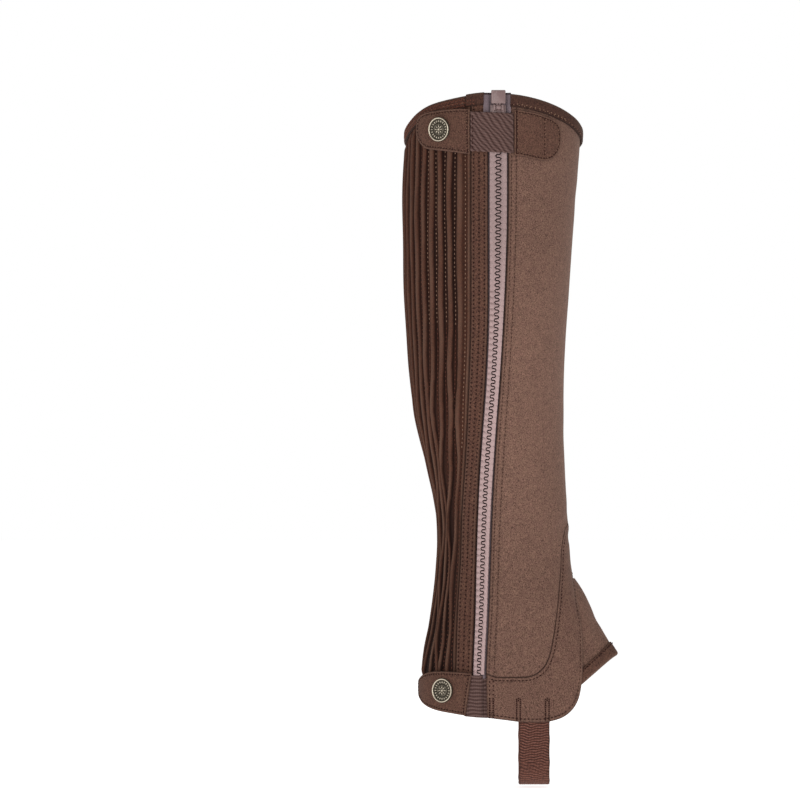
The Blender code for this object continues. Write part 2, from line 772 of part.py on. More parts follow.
def build_snaps():
    """Domed snap caps on the two tabs."""
    spots = (("snap_cap_upper", -33.5, 52.7), ("snap_cap_lower", -31.7, -320.9))
    outline = ((0.0, 1.5), (0.38, 1.45), (0.66, 1.1), (0.8, 1.3), (0.9, 1.6), (0.97, 1.2), (1.0, 0.5),
               (0.94, 0.0), (0.0, 0.0))
    for name, x, z in spots:
        surface = TAB_IN + TAB_THICK
        turn = turn_at("outer", x, z, surface)
        out = outward(turn, z)
        mesh = bpy.data.meshes.new(name)
        points = [(r * SNAP_RADIUS * MM, 0, h * MM) for r, h in outline]
        mesh.from_pydata(points, [(i, i + 1) for i in range(len(points) - 1)], [])
        cap = bpy.data.objects.new(name, mesh)
        CHAP.objects.link(cap)
        turned = cap.modifiers.new("turned", "SCREW")
        turned.steps = 24
        turned.render_steps = 24
        turned.use_merge_vertices = True
        turned.merge_threshold = 0.00001
        cap.rotation_mode = "QUATERNION"
        cap.rotation_quaternion = out.to_track_quat("Z", "Y")
        cap.location = place(turn, z, surface + 0.3) * MM
        cap.data.materials.append(material(name + "_antique_brass", *FINISHES["antique_brass"]))


def flap_rear(v):
    """The tongue's hidden rear edge, tucked inside the toe piece."""
    if v == 0:
        return Vector(FLAP_CROTCH)
    z = -247.0 - 65.0 * abs(v) ** 1.15
    free = np.interp(-z, (247.0, 262.0, 280.0, 295.0, 312.0), (55.5, 59.3, 61.9, 62.6, 61.6))
    tuck = np.interp(abs(v), (0.0, 0.25, 0.6, 1.0), (1.0, 4.5, 5.5, 8.0))
    depth = np.interp(abs(v), (0.0, 0.1, 0.45, 0.9), (-3.4, -4.9, -4.7, FLAP_UNDER))
    side = "outer" if v < 0 else "inner"
    return place(turn_at(side, free - tuck, z), z, depth)


def flap_front(v):
    """The tongue's bound front edge, an arch over the instep."""
    tip = Vector(FLAP_TIP)
    x, z = FLAP_SIDE
    end = place(turn_at("inner", x, z), z, FLAP_UNDER - 3.2)
    share = v * v
    return Vector((tip.x + (end.x - tip.x) * share, end.y * v, tip.z + (end.z - tip.z) * share))


def build_flap():
    """The tongue over the instep and the binding on its front edge."""
    across = np.linspace(-1, 1, 19)

    def surface(u, v):
        return flap_rear(v).lerp(flap_front(v), u)

    def normal(u, v):
        along = surface(min(u + 0.02, 1.0), v) - surface(max(u - 0.02, 0.0), v)
        side = surface(u, min(v + 0.03, 1.0)) - surface(u, max(v - 0.03, -1.0))
        return side.cross(along).normalized() * -1

    def skin(out):
        rows = []
        for share in np.linspace(0, 1, 7):
            row = []
            for v in across:
                length = (flap_front(v) - flap_rear(v)).length
                u = share * (1 - FLAP_EDGE / length)
                row.append(surface(u, v) + out * normal(u, v))
            rows.append(row)
        return rows

    closed_skin("toe_flap", skin(0.0), skin(-FLAP_WALL), "suede")
    bound = across[1:-1]
    stations = []
    for v in bound:
        edge = surface(1.0, v)
        n = normal(1.0, v)
        run = (surface(1.0, v) - surface(0.9, v)).normalized()
        length = FLAP_BINDING
        outline = ((0.4, -length), (1.1, -length + 0.3), (1.2, -2.0), (0.9, 0.6), (-0.9, 1.2),
                   (-2.7, 0.6), (-3.2, -2.0), (-3.0, -length + 0.3), (-2.2, -length),
                   (-2.2, -2.0), (0.4, -2.0))
        stations.append([edge + n * out + run * along for out, along in outline])
    swept("toe_flap_binding", stations, "suede_binding")


def build_foot_strap():
    """The elastic loop: from inside the outer hem, under the sole, to the inner hem."""
    columns = np.linspace(STRAP_BACK, STRAP_FRONT, 4)
    hang = STRAP_BOTTOM + STRAP_BEND
    grids = {}
    for key in ("front", "back"):
        rows = []
        thick = 0.0 if key == "front" else STRAP_THICK
        for side, top, under in (("outer", STRAP_TOP_OUTER, WALL),
                                 ("inner", STRAP_TOP_INNER, WALL + BINDING_IN)):
            depth = -under - LAY - thick
            leg = []
            for z in np.linspace(top, hang, 8):
                row = []
                for x in columns:
                    level = max(z, STRAP_LEAVES)
                    on_form = place(turn_at("inner", x, level, depth), level, depth).y
                    free = min(max((STRAP_LEAVES - z) / (STRAP_LEAVES - hang), 0.0), 1.0)
                    y = on_form + (STRAP_FLAT + STRAP_BEND - thick - on_form) * free
                    row.append(Vector((x, -y if side == "outer" else y, z)))
                leg.append(row)
            bend = []
            for angle in np.linspace(0, pi / 2, 7)[1:]:
                radius = STRAP_BEND - thick
                y = STRAP_FLAT + radius * cos(angle)
                z = hang - radius * sin(angle)
                bend.append([Vector((x, -y if side == "outer" else y, z)) for x in columns])
            rows.append(leg + bend)
        grids[key] = rows[0] + rows[1][::-1]
    closed_skin("foot_strap", grids["front"], grids["back"], "foot_elastic")


for old in list(bpy.data.objects):
    bpy.data.objects.remove(old)
CHAP = bpy.data.collections.new("half_chap")
bpy.context.scene.collection.children.link(CHAP)
build_panels()
build_patch()
build_bindings()
build_tabs()
build_zip()
build_slider()
build_snaps()
build_flap()
build_foot_strap()
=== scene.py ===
import bmesh
import bpy
import numpy as np
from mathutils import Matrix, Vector


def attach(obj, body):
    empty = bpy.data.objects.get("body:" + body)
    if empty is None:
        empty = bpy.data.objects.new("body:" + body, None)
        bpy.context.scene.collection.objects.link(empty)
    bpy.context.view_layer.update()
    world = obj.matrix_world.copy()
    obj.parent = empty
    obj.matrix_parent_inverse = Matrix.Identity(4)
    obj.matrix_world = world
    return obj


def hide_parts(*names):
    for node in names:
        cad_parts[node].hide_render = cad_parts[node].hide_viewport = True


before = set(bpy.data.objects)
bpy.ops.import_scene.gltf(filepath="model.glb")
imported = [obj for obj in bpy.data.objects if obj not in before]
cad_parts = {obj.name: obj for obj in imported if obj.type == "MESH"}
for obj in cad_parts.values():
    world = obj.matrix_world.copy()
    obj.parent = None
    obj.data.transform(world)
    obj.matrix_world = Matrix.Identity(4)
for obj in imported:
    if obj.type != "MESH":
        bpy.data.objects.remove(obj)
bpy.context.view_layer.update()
print("frame loaded")

# Sizes are in millimetres. A place on the leg is (turn, z): turn 0 is the shin,
# -90 or 270 the outer side with the zip, 90 the inner side, 180 the back.
mm = 0.001
wall = 2.0
seamGap = 0.06
underLay = 0.45
egg = 0.06
chance = np.random.default_rng(21)

# z, back x, front x, half depth
legForm = (
    (85, -54, 62.6, 55), (44, -55, 60.7, 54.5), (22, -56, 58.9, 54.5), (0, -56.7, 57.3, 54),
    (-33, -56.4, 54.8, 53.5), (-61, -55.6, 52.8, 52.5), (-89, -53.6, 51, 51), (-111, -51.8, 50, 49),
    (-136, -48.9, 49.6, 46.5), (-153, -45.2, 49.9, 44), (-173, -40.4, 50.7, 41), (-193, -36, 51.7, 38.2),
    (-209, -33.8, 52.6, 36.7), (-221, -33.3, 53.5, 36.1), (-239, -34.3, 55, 36), (-248, -35, 56.8, 36.2),
    (-262, -36.6, 62, 36.8), (-280, -39.6, 69, 37.5), (-295, -42.6, 75, 38), (-308, -44.2, 79, 38.3),
    (-321, -44.4, 82, 38.5), (-345, -44.4, 86, 38.5),
)
# z, pleat seam x, zip back edge x, zip front edge x
zipLines = (
    (80, -12.7, -1.2, 12.4), (36, -12.7, -1.2, 12.4), (-14, -12.7, -1.2, 12.2), (-46, -12.7, -1.1, 11.2),
    (-74, -12.7, -1.3, 9.9), (-116, -14, -3, 7.3), (-149, -15.3, -5.4, 4.8), (-182, -17.3, -7.6, 2.7),
    (-204, -18.7, -8.6, 1.6), (-234, -19.6, -9.6, 0.5), (-268, -21.5, -10.3, -0.6),
    (-309, -22.7, -11.8, -2.5), (-340, -22.9, -12, -2.9),
)
# z, share of the leg's width from the back
innerSeam = ((60, 0.125), (0, 0.10), (-45, 0.10), (-86, 0.11), (-120, 0.12), (-142, 0.14),
             (-228, 0.145), (-330, 0.135))
backSeam = ((60, 177), (-100, 176), (-150, 170), (-220, 161), (-330, 158))  # z, turn
hemHeights = ((48, -332.5), (70, -331), (90, -328), (130, -324), (180, -321), (205, -324),
              (225, -328.5), (241, -331))  # turn, z
toeSeam = (
    ("outer", -2, -309.3), ("outer", 3.5, -311.7), ("outer", 19, -312), ("outer", 28.5, -311),
    ("outer", 35.7, -306), ("outer", 39.9, -298), ("outer", 42.8, -285), ("outer", 45.8, -262),
    ("outer", 47.6, -242), ("outer", 49.5, -219), ("front", 0, -209.5), ("inner", 45.8, -220),
    ("inner", 43, -242), ("inner", 41.8, -270), ("inner", 41.2, -300), ("inner", 40.6, -328.6),
)
toeEdge = (
    ("outer", -2, -339), ("outer", 10, -340.5), ("outer", 24, -342), ("outer", 40, -341.5),
    ("outer", 52, -337), ("outer", 59.5, -327), ("outer", 62.4, -310), ("outer", 62.6, -295),
    ("outer", 61.9, -280), ("outer", 59.3, -262), ("front", 0, -245), ("inner", 59.3, -262),
    ("inner", 61.9, -280), ("inner", 62.6, -295), ("inner", 61.6, -312), ("inner", 57, -324),
    ("inner", 50.5, -328.6),
)
# turn, z, half length in degrees, half width in mm, rise in mm per degree, depth
softFolds = (
    (-28, -214, 21, 4.6, 0.30, 0.75), (8, -221, 26, 4.0, -0.14, 0.85), (-56, -236, 17, 5.5, 0.42, 0.55),
    (38, -207, 19, 4.8, 0.10, 0.7), (74, -228, 22, 5.6, -0.28, 0.65), (112, -213, 25, 4.6, 0.18, 0.75),
    (150, -203, 20, 5.2, -0.22, 0.6), (136, -232, 24, 6.0, 0.12, 0.7), (-44, -187, 22, 7.0, -0.20, 0.4),
    (60, -178, 24, 6.5, 0.24, 0.45), (20, -152, 28, 9.0, 0.10, 0.35), (-36, -128, 18, 8.0, 0.30, 0.3),
    (-30, 22, 20, 8.0, -0.18, 0.45), (14, 8, 24, 7.5, 0.12, 0.4), (58, 14, 22, 8.5, 0.22, 0.5),
    (122, 12, 20, 7.0, -0.15, 0.45), (-40, -66, 20, 10.0, 0.16, 0.3), (36, -88, 26, 9.0, -0.12, 0.35),
    (104, -262, 20, 6.0, 0.20, 0.5), (64, -284, 18, 6.5, -0.26, 0.5), (-62, -276, 14, 7.0, 0.30, 0.35),
    (150, -292, 18, 6.0, 0.10, 0.45), (116, -122, 24, 9.0, 0.14, 0.35), (-12, -262, 16, 5.0, 0.10, 0.4),
)


def smoothAt(at, table, column=1):
    rows = np.array(sorted(table), float)
    keys, values = rows[:, 0], rows[:, column]
    at = np.clip(at, keys[0], keys[-1])
    slopes = np.gradient(values, keys)
    i = np.clip(np.searchsorted(keys, at, side="right") - 1, 0, len(keys) - 2)
    span = keys[i + 1] - keys[i]
    t = (at - keys[i]) / span
    start = (2 * t**3 - 3 * t**2 + 1) * values[i] + (t**3 - 2 * t**2 + t) * span * slopes[i]
    return start + (3 * t**2 - 2 * t**3) * values[i + 1] + (t**3 - t**2) * span * slopes[i + 1]


def blendStep(x, low, high):
    t = np.clip((x - low) / (high - low), 0, 1)
    return t * t * (3 - 2 * t)


def bell(x, width=1.0):
    return np.exp(-(x / width) ** 2)


def unit(vectors):
    return vectors / np.linalg.norm(vectors, axis=-1, keepdims=True)


def formXY(turn, z):
    back, front, halfDepth = (smoothAt(z, legForm, k) for k in (1, 2, 3))
    c, s = np.cos(np.radians(turn)), np.sin(np.radians(turn))
    return (back + front) / 2 + (front - back) / 2 * c, halfDepth * s * (1 - egg * c)


def skinStep(turn, z):
    # how far the skin goes on in one degree of turn
    x0, y0 = formXY(turn - 0.5, z)
    x1, y1 = formXY(turn + 0.5, z)
    return x1 - x0, y1 - y0


def outward(turn, z):
    stepX, stepY = skinStep(turn, z)
    return unit(np.stack([stepY, -stepX, np.zeros_like(stepX)], -1))


def onLeg(turn, z, out=0.0):
    turn, z, out = np.broadcast_arrays(np.asarray(turn, float), np.asarray(z, float), np.asarray(out, float))
    x, y = formXY(turn, z)
    return np.stack([x, y, z], -1) + out[..., None] * outward(turn, z)


def turnAt(side, x, z, out=0.0):
    if side == "front":
        return np.zeros_like(np.asarray(z, float))
    back, front = smoothAt(z, legForm, 1), smoothAt(z, legForm, 2)
    ratio = np.clip((np.asarray(x, float) - (back + front) / 2) / ((front - back) / 2 + out), -1, 1)
    turn = np.degrees(np.arccos(ratio))
    return -turn if side == "outer" else turn


def sideLine(side, x, z, out=0.0):
    # turns and heights of points given by x and height on one side of the leg
    return np.stack([turnAt(side, x, z, out), z], -1)


def skinSpeed(turn, z):
    return np.hypot(*skinStep(turn, z))


def rimZ(turn):
    turn = np.asarray(turn, float)
    level = 56.4 - 16.85 * np.sin(np.radians(turn)) - 3.4 * np.cos(np.radians(2 * turn))
    return level + 2.0 * bell(turn % 360 - 217, 19)


def hemZ(turn):
    return smoothAt(turn, hemHeights)


def foldOut(turn, z):
    # the worn-in shape: soft troughs with a low ridge beside each, and a slow unevenness
    turn, z = np.asarray(turn, float), np.asarray(z, float)
    out = 0.16 * np.sin(turn * 0.093 + z * 0.031) * np.sin(z * 0.047 - turn * 0.021 + 1.3)
    for turn0, z0, length, width, rise, depth in softFolds:
        d = (turn - turn0 + 180) % 360 - 180
        off = (z - z0 - rise * d - 0.006 * d * d) / width
        out = out + depth * bell(d, length) * (0.5 * bell(off - 1.7) - bell(off))
    zipSide = bell((turn + 90 + 180) % 360 - 180, 16)
    return out * (1 - 0.8 * zipSide)


def through(points, spans):
    knots = np.array(points, float)
    padded = np.vstack([2 * knots[0] - knots[1], knots, 2 * knots[-1] - knots[-2]])
    t = np.linspace(0, 1, 24, endpoint=False)[:, None]
    dense = []
    for p0, p1, p2, p3 in zip(padded, padded[1:], padded[2:], padded[3:]):
        dense.append(0.5 * (2 * p1 + (p2 - p0) * t + (2 * p0 - 5 * p1 + 4 * p2 - p3) * t**2
                            + (3 * p1 - p0 - 3 * p2 + p3) * t**3))
    dense = np.vstack([*dense, knots[-1:]])
    run = runLength(dense)
    return resampled(dense, run, np.linspace(0, run[-1], spans + 1))


def runLength(points):
    return np.concatenate([[0], np.cumsum(np.linalg.norm(np.diff(points, axis=0), axis=1))])


def resampled(points, run, marks):
    return np.stack([np.interp(marks, run, points[:, k]) for k in range(points.shape[1])], -1)


def shifted(line, distance):
    scale = skinSpeed(line[:, 0], line[:, 1])
    step = np.vstack([line[1:2] - line[:1], line[2:] - line[:-2], line[-1:] - line[-2:-1]])
    step[:, 0] *= scale
    step = unit(step)
    return np.stack([line[:, 0] - step[:, 1] * distance / scale, line[:, 1] + step[:, 0] * distance], -1)


def alongLine(line, share):
    at = np.linspace(0, 1, len(line))
    return np.stack([np.interp(share, at, line[:, k]) for k in range(2)], -1)


def insideEdges(edges, u, v):
    # turns and heights inside four edge lines: top, bottom, left, right
    u, v = np.broadcast_arrays(u, v)
    top, bottom, left, right = (alongLine(line, share) for line, share in zip(edges, (u, u, v, v)))
    u, v = u[..., None], v[..., None]
    corners = ((1 - u) * (1 - v) * edges[0][0] + u * (1 - v) * edges[0][-1]
               + (1 - u) * v * edges[1][0] + u * v * edges[1][-1])
    return (1 - v) * top + v * bottom + (1 - u) * left + u * right - corners


edgeSteps = (0, 0.25, 0.6, 1.05, 1.6, 2.1, 2.6, 3.3, 4.2, 5.0, 5.6, 6.2, 7.2)


def marksAlong(length, count, steps=edgeSteps):
    inner = np.linspace(steps[-1], length - steps[-1], count + 1)
    return np.concatenate([steps[:-1], inner, (length - np.array(steps[:-1]))[::-1]])


def fittedGrid(edges, across, down, acrossSteps=edgeSteps):
    # a grid whose rows and columns lie close together along its edges
    dense = np.linspace(0, 1, 241)
    height = np.mean([runLength(onLeg(*edges[k].T))[-1] for k in (2, 3)])
    rows = []
    for share in marksAlong(height, down) / height:
        run = runLength(onLeg(*insideEdges(edges, dense, share).T))
        u = np.interp(marksAlong(run[-1], across, acrossSteps), run, dense)
        rows.append(insideEdges(edges, u, np.full_like(u, share)))
    return np.array(rows)


def nearness(points, lines):
    # distance in mm of each point to the nearest of some lines on the leg
    flat = points.reshape(-1, 3)
    best = np.full(len(flat), 1e9)
    for line in lines:
        track = onLeg(line[:, 0], line[:, 1])
        run = runLength(track)
        track = resampled(track, run, np.linspace(0, run[-1], max(int(run[-1] / 2.0), 2)))
        a, b = track[:-1], track[1:]
        step = b - a
        for block in range(0, len(flat), 4000):
            p = flat[block:block + 4000, None, :]
            t = np.clip(((p - a) * step).sum(-1) / (step * step).sum(-1), 0, 1)
            d = np.linalg.norm(p - a - t[..., None] * step, axis=-1).min(1)
            best[block:block + 4000] = np.minimum(best[block:block + 4000], d)
    return best.reshape(points.shape[:-1])


def rolledEdge(d, radius=1.0, depth=0.8):
    x = np.clip(1 - d / radius, 0, 1)
    return -depth * (1 - np.sqrt(1 - x * x * 0.98))


def sewnGroove(d, at, depth=0.28, width=0.6):
    return -depth * bell(d - at, width)


# materials
groupOutputs = {"Colour": "NodeSocketColor", "Height": "NodeSocketFloat", "Roughness": "NodeSocketFloat"}


def newGroup(name, **inputs):
    tree = bpy.data.node_groups.new(name, "ShaderNodeTree")
    for label, value in inputs.items():
        kind = "NodeSocketColor" if isinstance(value, tuple) else "NodeSocketFloat"
        socket = tree.interface.new_socket(label, in_out="INPUT", socket_type=kind)
        socket.default_value = value
    for label, kind in groupOutputs.items():
        tree.interface.new_socket(label, in_out="OUTPUT", socket_type=kind)
    given, result = tree.nodes.new("NodeGroupInput"), tree.nodes.new("NodeGroupOutput")
    return tree, given.outputs, result.inputs


def addNode(tree, kind, **settings):
    node = tree.nodes.new("ShaderNode" + kind)
    for key, value in settings.items():
        setattr(node, key, value)
    return node


def setInputs(node, values):
    for label, value in values.items():
        node.inputs[label].default_value = value


def linkAll(tree, sockets, **values):
    for label, value in values.items():
        tree.links.new(value, sockets[label])


def feed(tree, socket, value):
    if isinstance(value, (int, float)):
        socket.default_value = value
    elif isinstance(value, tuple):
        socket.default_value = (*value, 1)
    else:
        tree.links.new(value, socket)


def math(tree, operation, *values, clamp=False):
    node = addNode(tree, "Math", operation=operation, use_clamp=clamp)
    for socket, value in zip(node.inputs, values):
        feed(tree, socket, value)
    return node.outputs[0]


def weighted(tree, a, shareA, b, shareB):
    return math(tree, "ADD", math(tree, "MULTIPLY", a, shareA), math(tree, "MULTIPLY", b, shareB))


def mixColour(tree, share, a, b):
    node = addNode(tree, "Mix", data_type="RGBA")
    for k, value in ((0, share), (6, a), (7, b)):
        feed(tree, node.inputs[k], value)
    return node.outputs[2]


def wearLightShadeColour(tree, given, colour, paleShare, wornOrLit, shadeShare, dark):
    # paler where rubbed and as painted highlight, darker as painted shade in seams and hollows
    paled = mixColour(tree, math(tree, "MULTIPLY", given["Wear"], paleShare, clamp=True), colour, wornOrLit)
    return mixColour(tree, math(tree, "MULTIPLY", given["Shade"], shadeShare, clamp=True), paled, dark)


def noise(tree, place, scale, detail=2.0, roughness=0.5, stretch=None):
    if stretch:
        mapping = addNode(tree, "Mapping")
        setInputs(mapping, {"Scale": stretch})
        tree.links.new(place, mapping.inputs["Vector"])
        place = mapping.outputs[0]
    node = addNode(tree, "TexNoise")
    setInputs(node, {"Scale": scale, "Detail": detail, "Roughness": roughness})
    tree.links.new(place, node.inputs["Vector"])
    return node.outputs["Fac"]


def ranged(tree, value, fromLow, fromHigh, toLow, toHigh):
    node = addNode(tree, "MapRange")
    for socket, number in zip(node.inputs[1:5], (fromLow, fromHigh, toLow, toHigh)):
        socket.default_value = number
    tree.links.new(value, node.inputs[0])
    return node.outputs[0]


def buildNapGroup():
    # brushed suede: short fibres, mottling where the nap lies differently, darker seams and hollows as painted
    # shade, paler where rubbed and as painted highlight
    tree, given, result = newGroup("suedeNap", Colour=(0.15, 0.08, 0.055, 1), Mottle=0.5, Shade=0.0, Wear=0.0,
                                   Worn=(0.30, 0.19, 0.14, 1))
    place = addNode(tree, "TexCoord").outputs["Object"]
    fibre = noise(tree, place, 2100, 1, 0.6)
    lying = noise(tree, place, 1350, 1, 0.6, (1.0, 1.0, 0.75))
    patches = noise(tree, place, 260, 3, 0.6)
    broad = noise(tree, place, 22, 2, 0.5)
    grain = weighted(tree, fibre, 0.6, lying, 0.4)
    tone = ranged(tree, weighted(tree, grain, 0.9, patches, 0.1), 0.34, 0.66, -1, 1)
    tone = math(tree, "MULTIPLY", tone, given["Mottle"])
    value = math(tree, "ADD", 1.0, math(tree, "MULTIPLY", tone, 1.2))
    value = math(tree, "MULTIPLY", value, ranged(tree, broad, 0.3, 0.7, 0.95, 1.05))
    hue = addNode(tree, "HueSaturation")
    linkAll(tree, hue.inputs, Color=given["Colour"], Value=value,
            Hue=ranged(tree, patches, 0.3, 0.7, 0.495, 0.503))
    # the near-black mixed in here is the colour of the painted shade; the paler input colour stands for wear and
    # painted highlight
    colour = wearLightShadeColour(tree, given, hue.outputs[0], 0.55, given["Worn"], 0.92, (0.014, 0.0055, 0.004))
    linkAll(tree, result, Colour=colour, Height=weighted(tree, grain, 0.7, patches, 0.3),
            Roughness=ranged(tree, grain, 0.3, 0.7, 0.82, 1.0))
    return tree


def buildWeaveGroup():
    # crossed yarns for tape, elastic and lining
    tree, given, result = newGroup("crossedYarns", Colour=(0.1, 0.06, 0.06, 1), Dark=(0.03, 0.015, 0.015, 1),
                                   Yarn=900.0, Shade=0.0, Wear=0.0)
    place = addNode(tree, "TexCoord").outputs["Object"]
    split = addNode(tree, "SeparateXYZ")
    tree.links.new(place, split.inputs[0])
    across = math(tree, "ADD", split.outputs["X"], math(tree, "MULTIPLY", split.outputs["Y"], 0.7))
    waves = []
    for axis, phase in ((across, 0.0), (split.outputs["Z"], 1.1)):
        turned = math(tree, "MULTIPLY", axis, math(tree, "MULTIPLY", given["Yarn"], 6.2832))
        waves.append(math(tree, "SINE", math(tree, "ADD", turned, phase)))
    yarn = math(tree, "ADD", math(tree, "MULTIPLY", math(tree, "MULTIPLY", *waves), 0.5), 0.5)
    fluff = noise(tree, place, 1300, 3, 0.6)
    height = weighted(tree, yarn, 0.7, fluff, 0.3)
    colour = mixColour(tree, ranged(tree, height, 0.15, 0.85, 0.0, 1.0), given["Dark"], given["Colour"])
    # a pale tone for wear and painted highlight, a near-black for painted shade in hollows and along edges
    colour = wearLightShadeColour(tree, given, colour, 0.6, (0.36, 0.27, 0.25), 0.85, (0.02, 0.009, 0.008))
    linkAll(tree, result, Colour=colour, Height=height, Roughness=ranged(tree, fluff, 0.3, 0.7, 0.7, 0.92))
    return tree


def buildPatinaGroup():
    # cast or plated metal: dark in the hollows, as patina on the brass and as painted shade on the zip; bright
    # where fingers rub it, on the zip also as painted highlight
    tree, given, result = newGroup("rubbedMetal", Bright=(0.6, 0.5, 0.35, 1), Dark=(0.06, 0.045, 0.03, 1),
                                   Shade=0.0, Wear=0.0)
    place = addNode(tree, "TexCoord").outputs["Object"]
    specks = noise(tree, place, 2600, 3, 0.6)
    clouds = noise(tree, place, 700, 2, 0.5)
    patinaAndShade = math(tree, "ADD", given["Shade"], ranged(tree, specks, 0.45, 0.75, -0.1, 0.35))
    patinaAndShade = math(tree, "SUBTRACT", patinaAndShade, math(tree, "MULTIPLY", given["Wear"], 0.7), clamp=True)
    rough = math(tree, "ADD", ranged(tree, clouds, 0.3, 0.7, 0.26, 0.42), math(tree, "MULTIPLY", patinaAndShade, 0.3))
    linkAll(tree, result, Colour=mixColour(tree, patinaAndShade, given["Bright"], given["Dark"]),
            Height=weighted(tree, specks, 0.4, clouds, 0.6), Roughness=rough)
    return tree


groups = {"nap": buildNapGroup(), "weave": buildWeaveGroup(), "patina": buildPatinaGroup()}


def suedeLook(colour, mottle, sheen, tint, bump=0.3, **more):
    return dict(group="nap", values={"Colour": colour, "Mottle": mottle, **more}, bump=bump, depth=0.0006,
                sheen=sheen, tint=tint)


def weaveLook(colour, dark, yarn, sheen, tint, bump=0.3, depth=0.0005):
    return dict(group="weave", values={"Colour": colour, "Dark": dark, "Yarn": yarn}, bump=bump, depth=depth,
                sheen=sheen, tint=tint)


def threadLook(colour, dark):
    return weaveLook(colour, dark, 2200.0, 0.0, (1, 1, 1), bump=0.1, depth=0.0002)


def metalLook(bright, dark, bump=0.12, metal=0.0):
    return dict(group="patina", values={"Bright": bright, "Dark": dark}, bump=bump, depth=0.0003, sheen=0.0,
                tint=(1, 1, 1), metal=metal, specular=0.5)


finishes = {
    "suede": suedeLook((0.190, 0.104, 0.076), 0.62, 0.14, (0.9, 0.72, 0.62)),
    "suedeToe": suedeLook((0.158, 0.085, 0.062), 0.62, 0.12, (0.9, 0.72, 0.62)),
    "suedeDark": suedeLook((0.108, 0.053, 0.037), 0.62, 0.10, (0.9, 0.7, 0.6)),
    # the pleats' paler colour is their ridges' wear and painted highlight
    "suedePleats": suedeLook((0.068, 0.021, 0.011), 0.6, 0.02, (0.85, 0.7, 0.6), Worn=(0.240, 0.152, 0.110)),
    "suedePlacket": suedeLook((0.107, 0.050, 0.034), 0.65, 0.08, (0.85, 0.65, 0.55)),
    "suedeBinding": suedeLook((0.068, 0.031, 0.022), 0.6, 0.08, (0.8, 0.62, 0.5), bump=0.25),
    "lining": weaveLook((0.075, 0.040, 0.030), (0.03, 0.014, 0.01), 700.0, 0.05, (0.8, 0.7, 0.65), bump=0.25),
    "zipTape": weaveLook((0.31, 0.237, 0.258), (0.115, 0.083, 0.094), 1100.0, 0.05, (0.9, 0.85, 0.9)),
    "zipTeeth": metalLook((0.44, 0.30, 0.29), (0.035, 0.016, 0.015)),
    "zipMetal": metalLook((0.222, 0.140, 0.134), (0.075, 0.041, 0.038)),
    "antiqueBrass": metalLook((0.74, 0.65, 0.51), (0.032, 0.025, 0.017), bump=0.15, metal=0.85),
    "webbing": weaveLook((0.188, 0.101, 0.086), (0.064, 0.032, 0.027), 1000.0, 0.08, (0.9, 0.8, 0.8)),
    "footElastic": weaveLook((0.345, 0.125, 0.080), (0.080, 0.026, 0.017), 900.0, 0.08, (0.9, 0.7, 0.6)),
    "darkThread": threadLook((0.050, 0.016, 0.011), (0.02, 0.007, 0.005)),
    "brownThread": threadLook((0.090, 0.042, 0.030), (0.04, 0.017, 0.012)),
    "rustThread": threadLook((0.175, 0.066, 0.043), (0.07, 0.022, 0.014)),
    "paleThread": threadLook((0.37, 0.225, 0.155), (0.15, 0.075, 0.045)),
}


def newMaterial(name):
    made = bpy.data.materials.new(name)
    made.use_nodes = True
    return made, made.node_tree, made.node_tree.nodes["Principled BSDF"]


def makeMaterial(name):
    look = finishes[name]
    made, tree, shader = newMaterial(name)
    effect = addNode(tree, "Group", node_tree=groups[look["group"]])
    for label, value in look["values"].items():
        feed(tree, effect.inputs[label], value)
    # crease brings the painted shade (on the brass its patina), the second field wear and painted highlight
    for label, field in (("Shade", "crease"), ("Wear", "wornOrLit")):
        field = addNode(tree, "Attribute", attribute_name=field)
        tree.links.new(field.outputs["Fac"], effect.inputs[label])
    tree.links.new(effect.outputs["Colour"], shader.inputs["Base Color"])
    tree.links.new(effect.outputs["Roughness"], shader.inputs["Roughness"])
    bump = addNode(tree, "Bump")
    setInputs(bump, {"Strength": look["bump"], "Distance": look["depth"]})
    tree.links.new(effect.outputs["Height"], bump.inputs["Height"])
    tree.links.new(bump.outputs["Normal"], shader.inputs["Normal"])
    setInputs(shader, {"Metallic": look.get("metal", 0.0), "Specular IOR Level": look.get("specular", 0.18),
                       "Sheen Weight": look["sheen"], "Sheen Roughness": 0.45,
                       "Sheen Tint": (*look["tint"], 1)})
    return made


materials = {name: makeMaterial(name) for name in finishes}
print("materials ready")


# mesh helpers
def linked(name, data):
    thing = bpy.data.objects.new(name, data)
    bpy.context.scene.collection.objects.link(thing)
    return thing


def makePiece(name, points, faces, look, nodes=(), body="chap", fields=None, inside=None, sharp=55):
    shape = bmesh.new()
    verts = [shape.verts.new(p) for p in (points * mm).tolist()]
    for index, face in enumerate(faces):
        made = shape.faces.new([verts[i] for i in face])
        made.smooth = True
        if inside is not None and index in inside:
            made.material_index = 1
    bmesh.ops.recalc_face_normals(shape, faces=shape.faces)
    mesh = bpy.data.meshes.new(name)
    shape.to_mesh(mesh)
    shape.free()
    mesh.materials.append(materials[look])
    if inside is not None:
        mesh.materials.append(materials["lining"])
    for label in ("crease", "wornOrLit"):
        layer = mesh.attributes.new(label, "FLOAT", "POINT")
        values = (fields or {}).get(label, np.zeros(len(points)))
        layer.data.foreach_set("value", np.clip(values, 0, 1).astype(np.float32).ravel())
    mesh.set_sharp_from_angle(angle=np.radians(sharp))
    thing = linked(name, mesh)
    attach(thing, body)
    if nodes:
        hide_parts(*nodes)
    return thing


def gridFaces(rows, columns, start=0, wrap=False):
    index = np.arange(rows * columns).reshape(rows, columns) + start
    if wrap:
        index = np.hstack([index, index[:, :1]])
    corners = (index[:-1, :-1], index[1:, :-1], index[1:, 1:], index[:-1, 1:])
    return np.stack(corners, -1).reshape(-1, 4).tolist()


